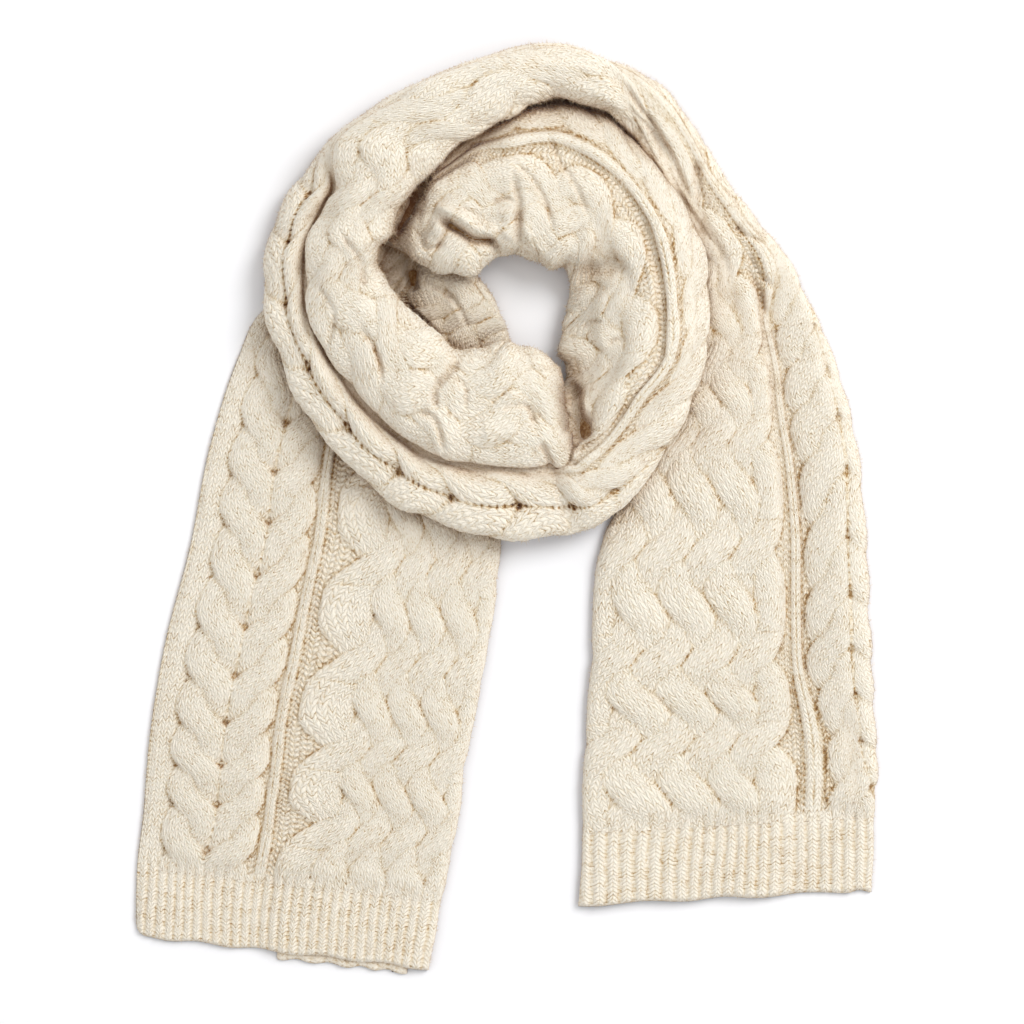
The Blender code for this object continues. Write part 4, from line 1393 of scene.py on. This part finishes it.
    def bars(self, finish: Finish) -> bpy.types.NodeSocket:
        """The purl bars, each half a stitch on from its neighbours.

        Args:
            finish: The material.

        Returns:
            Their height.
        """
        across, along = self.places(finish)
        column = finish.add("Math", across, operation="FLOOR")
        stepped = finish.add("Math", column, 0.5, along, operation="MULTIPLY_ADD")
        soft = finish.add("Math", self.rounded(finish, across), self.bar_side, 1 - self.bar_side,
                          operation="MULTIPLY_ADD")
        return finish.add("Math", self.rounded(finish, stepped), soft, operation="MULTIPLY")

    def fibre(self, finish: Finish, swells: float) -> bpy.types.NodeSocket:
        """Unevenness of the wool.

        Args:
            finish: The material.
            swells: How many swells there are to the millimetre.

        Returns:
            A value around 0.5, in the sheet's own space.
        """
        place = finish.add("TexCoord", out="Object")
        return finish.add("TexNoise", {
            "Vector": place, "Scale": swells / MM, "Detail": 3.0, "Roughness": 0.65})

    def colour(self, finish: Finish, height: bpy.types.NodeSocket) -> bpy.types.NodeSocket:
        """Cream on the crowns, with painted shade, warmer and darker, where light reaches the yarn only
        through more yarn.

        Args:
            finish: The material.
            height: Height of the stitches.

        Returns:
            The colour.
        """
        # Painted shade from the sheet's hollows and creases, between the legs, in the gaps of loose
        # stitches and where the sky is shut out, with the wool's own uneven tone added in.
        painted_shade = finish.add("Attribute", out="Fac", attribute_name="painted_shade")
        hollow = finish.add("Math", 1.0, height, operation="SUBTRACT")
        between = finish.add("Math", hollow, 2.0, operation="POWER")
        patchy = finish.add("Math", self.fibre(finish, self.stitches), *self.broken,
                            operation="MULTIPLY_ADD")
        crease = finish.add("Math", painted_shade, patchy, operation="MULTIPLY")
        shade_and_tone = finish.add("Math", between, self.fine, crease, operation="MULTIPLY_ADD")
        # Painted shade where nearby cloth shuts out the sky.
        sky = finish.add("AmbientOcclusion", {"Distance": self.hollow * MM}, out="AO", samples=4)
        shut = finish.add("Math", 1.0, sky, operation="SUBTRACT")
        shut_out = finish.add("Math", shut, 4.0, operation="POWER")
        shade_and_tone = finish.add("Math", shut_out, self.deepest, shade_and_tone, operation="MULTIPLY_ADD")
        half_shut = finish.add("Math", shut, 1.7, operation="POWER")
        across, along = self.places(finish)
        stitch = finish.add("CombineXYZ", finish.add("Math", across, operation="FLOOR"),
                            finish.add("Math", along, operation="FLOOR"))
        chance = finish.add("TexWhiteNoise", {"Vector": stitch}, noise_dimensions="2D")
        shade_and_tone = finish.add("Math", chance, self.odd, shade_and_tone, operation="MULTIPLY_ADD")
        # Now and then a painted dark shade in the gap of a loose stitch.
        gap = finish.add("Math", finish.add("Math", chance, 5.0, operation="POWER"),
                         finish.add("Math", hollow, 4.0, operation="POWER"), operation="MULTIPLY")
        shade_and_tone = finish.add("Math", gap, self.speck, shade_and_tone, operation="MULTIPLY_ADD")
        spun = finish.add("Math", self.fibre(finish, self.yarn), 0.5, operation="SUBTRACT")
        shade_and_tone = finish.add("Math", spun, self.spun, shade_and_tone, operation="MULTIPLY_ADD")
        dyed = finish.add("Math", self.fibre(finish, self.dye), self.dyed, -self.dyed,
                          operation="MULTIPLY_ADD")
        tone = finish.add("ValToRGB", finish.add("Math", shade_and_tone, dyed, operation="ADD"))
        stops = tone.node.color_ramp.elements
        stops[0].color, stops[1].color = linear(self.tones[0][1]), linear(self.tones[-1][1])
        for place, colour in self.tones[1:-1]:
            stops.new(place).color = linear(colour)
        # Painted shade, multiplied in where the sky is half shut out.
        return finish.add("Mix", {0: half_shut, 6: tone, 7: linear(self.shade)}, out=2,
                          data_type="RGBA", blend_type="MULTIPLY")


@dataclass(frozen=True)
class Hair:
    """Single hairs of the same wool, loose from spinning and wear.

    They are matt and pale, which gives the cloth its soft light rim, and they are given a painted
    brown shade where nearby cloth shuts out the sky, as in a crease.
    """

    colour: str = "#F2E7D1"
    # painted shade, where nearby cloth shuts out the sky
    shaded: str = "#A97B42"
    roughness: float = 0.9

    def material(self) -> bpy.types.Material:
        """The finish of the loose fibres.

        Returns:
            Its material.
        """
        finish = Finish("cream_wool_fibre", {"Roughness": self.roughness})
        # Painted shade where nearby cloth shuts out the sky.
        sky = finish.add("AmbientOcclusion", {"Distance": Wool.hollow * MM}, out="AO", samples=4)
        finish.drive("Base Color", finish.add("Mix", {
            0: sky, 6: linear(self.shaded), 7: linear(self.colour)}, out=2, data_type="RGBA"))
        return finish.material


@dataclass(frozen=True)
class Paint:
    """Flat white paint, rolled on a smooth table top: a plain bright ground without gloss."""

    colour: str = "#F6F6F8"
    roughness: float = 0.7

    def material(self) -> bpy.types.Material:
        """The finish of the table."""
        return Finish("white_table_paint", {
            "Base Color": linear(self.colour), "Roughness": self.roughness}).material


# --- Loose fibres ------------------------------------------------------------------------------


@dataclass(frozen=True)
class Nap:
    """Loose fibres that stand off the wool, thickest along its outline."""

    count: int = 42000
    shortest: float = 1.5     # mm
    longest: float = 6.0      # mm
    width: float = 0.2        # mm, from its middle to its edges at the root
    root: float = 0.3         # mm that lie in the cloth
    lowest: float = 1.5       # mm, height of the cloth under which none stand
    on_top: float = 0.14      # how thick they stand on level cloth, against 1 more on upright cloth
    upright: float = 0.3      # least that they stand up, against 1
    tangle: float = 0.6       # how far they lean to the sides
    lengths: tuple[float, float] = (1.2, 4.0)  # shape of their spread, in which most are short
    clear: float = 0.1        # mm that they stay above the table
    hair: Hair = Hair()
    seed: int = 21

    def build(self, sheets: list[Sheet]) -> bpy.types.Object:
        """Stand the fibres on the sheets as one piece.

        Args:
            sheets: The built sheets.

        Returns:
            The object that holds every fibre.
        """
        draw = np.random.default_rng(self.seed)
        points = np.concatenate([sheet.roots[0] for sheet in sheets])
        normals = np.concatenate([sheet.roots[1] for sheet in sheets])
        weight = self.on_top + np.clip(1 - normals[:, 2], 0, 1)
        weight = np.where(points[:, 2] > self.lowest, weight, 0)
        chosen = draw.choice(len(points), self.count, p=weight / weight.sum())
        root, normal = points[chosen], normals[chosen]
        way = normal * draw.uniform(self.upright, 1.0, (self.count, 1))
        way = way + draw.normal(0, self.tangle, (self.count, 3))
        way /= np.linalg.norm(way, axis=1, keepdims=True)
        length = draw.beta(*self.lengths, (self.count, 1))
        length = self.shortest + (self.longest - self.shortest) * length
        side = np.cross(way, draw.normal(0, 1, (self.count, 3)))
        side /= np.linalg.norm(side, axis=1, keepdims=True)
        other = np.cross(way, side)
        root = root - self.root * way
        base = [root + self.width * (np.cos(turn) * side + np.sin(turn) * other)
                for turn in np.radians((0, 120, 240))]
        spikes = np.stack([*base, root + length * way], axis=1).reshape(-1, 3)
        first = 4 * np.arange(self.count)[:, None, None]
        faces = (first + np.array([(0, 1, 3), (1, 2, 3), (2, 0, 3), (0, 2, 1)])).reshape(-1, 3)
        mesh = bpy.data.meshes.new("loose_fibres")
        spikes[:, 2] = np.maximum(spikes[:, 2], self.clear)
        mesh.from_pydata((spikes * MM).tolist(), [], faces.tolist())
        piece = bpy.data.objects.new("loose_fibres", mesh)
        bpy.context.scene.collection.objects.link(piece)
        return piece

    def dress(self, piece: bpy.types.Object) -> None:
        """Give the fibres their finish and their place on the body.

        Args:
            piece: The object that holds them.
        """
        piece.data.materials.append(self.hair.material())
        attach(piece, BODY)


# --- Studio ------------------------------------------------------------------------------------


@dataclass(frozen=True)
class Studio:
    """White table, soft light from the upper right, and a camera straight above.

    Its lengths are metres, apart from the sensor's.
    """

    camera_place: tuple[float, float, float] = (0.00515, -0.00177, 3.6)
    view_width: float = 0.8192   # of the table that the camera sees
    sensor: float = 36.0         # mm
    table_size: float = 8.0
    paint: Paint = Paint()
    sky: float = 0.775           # strength
    window_place: tuple[float, float, float] = (2.7, 2.1, 3.4)
    window_size: float = 2.6
    window_power: float = 140.0  # W

    def camera(self) -> None:
        """Place the camera that looks straight down."""
        data = bpy.data.cameras.new("camera")
        data.sensor_width = self.sensor
        data.lens = self.sensor * self.camera_place[2] / self.view_width
        camera = bpy.data.objects.new("camera", data)
        camera.location = self.camera_place
        bpy.context.scene.collection.objects.link(camera)
        bpy.context.scene.camera = camera

    def light(self) -> None:
        """Soft window light from the upper right over an even sky."""
        world = bpy.data.worlds.new("studio")
        bpy.context.scene.world = world
        world.use_nodes = True
        sky = world.node_tree.nodes["Background"]
        sky.inputs["Color"].default_value = (1, 1, 1, 1)
        sky.inputs["Strength"].default_value = self.sky
        data = bpy.data.lights.new("window", "AREA")
        data.shape = "DISK"
        data.size = self.window_size
        data.energy = self.window_power
        window = bpy.data.objects.new("window", data)
        window.location = self.window_place
        window.rotation_euler = Vector(window.location).to_track_quat("Z", "Y").to_euler()
        bpy.context.scene.collection.objects.link(window)

    def table(self) -> None:
        """White table top under the scarf."""
        bpy.ops.object.select_all(action="DESELECT")
        bpy.ops.mesh.primitive_plane_add(size=self.table_size)
        table = bpy.context.active_object
        table.name = "table"
        table.data.materials.append(self.paint.material())

    def build(self) -> None:
        """Set up table, light and camera."""
        self.table()
        self.light()
        self.camera()
        bpy.context.scene.view_settings.view_transform = "Standard"


# --- The scarf ---------------------------------------------------------------------------------


@dataclass
class Scarf:
    """The whole scarf, stretch by stretch in the order of travel."""

    wool: Wool = Wool()
    nap: Nap = Nap()

    def sheets(self) -> list[Sheet]:
        """Every stretch that shows.

        Returns:
            The sheets, still to be built.
        """
        flat = {"wall": 3.6, "under": 0.5}
        hem = {"chart": HemChart(), "wall": 3.6, "under": 0.93}
        under_hem = {"chart": HemChart(ribs=13), "wall": 1.5, "under": 0.9, "unevenness": 0.3}
        return [
            Sheet("left_hem", FIRST_PASS, (-0.5, 1.2), rounded_row=-0.5, **hem),
            Sheet("left_hem_under", FIRST_UNDER, (-0.64, 1.2), rounded_row=-0.64, **under_hem),
            Sheet("left_tail", FIRST_PASS, (1.17, 10.23), hem_row=1.2, **flat),
            Sheet("left_shoulder", FIRST_PASS, (10.2, 13.83), **flat),
            Sheet("left_rise", FIRST_PASS, (13.8, 17.0), creases=RISE_CREASES, **flat),
            Sheet("loop_back", LOOP_START, (15.4, 22.63), creases=START_CREASES),
            Sheet("loop_right", LOOP_START, (22.6, 30.7), sunk=2.6, creases=START_CREASES),
            Sheet("loop_front", SECOND_PASS, (29.65, 36.03), rounded_row=29.65, rounding=22.0,
                  corner=0.1, creases=SECOND_CREASES),
            Sheet("loop_left", SECOND_PASS, (36.0, 42.03), creases=SECOND_CREASES),
            Sheet("loop_top", SECOND_PASS, (42.0, 49.03), creases=SECOND_CREASES),
            Sheet("right_shoulder", SECOND_PASS, (49.0, 54.03), creases=SECOND_CREASES),
            Sheet("right_tail", SECOND_PASS, (54.0, 64.23), hem_row=64.2, **flat),
            Sheet("right_hem", SECOND_PASS, (64.2, 66.0), rounded_row=66.0, **hem),
            Sheet("right_hem_under", SECOND_UNDER, (64.2, 65.9), rounded_row=65.9, **under_hem),
        ]

    def build(self) -> list[bpy.types.Object]:
        """Build and dress every sheet and the loose fibres.

        Returns:
            The pieces.
        """
        sheets = self.sheets()
        materials = [self.wool.material(fabric) for fabric in Fabric]
        pieces = [sheet.build() for sheet in sheets]
        for sheet, piece in zip(sheets, pieces):
            sheet.dress(piece, materials)
        fibres = self.nap.build(sheets)
        self.nap.dress(fibres)
        return [*pieces, fibres]


def main() -> None:
    """Load the frame and build the scarf and its studio."""
    logging.basicConfig(level=logging.INFO, format="%(message)s")
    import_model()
    Studio().build()
    for piece in Scarf().build():
        mesh = piece.data
        log.info("%s: %d points, %d faces", piece.name, len(mesh.vertices), len(mesh.polygons))


if __name__ == "__main__":
    main()
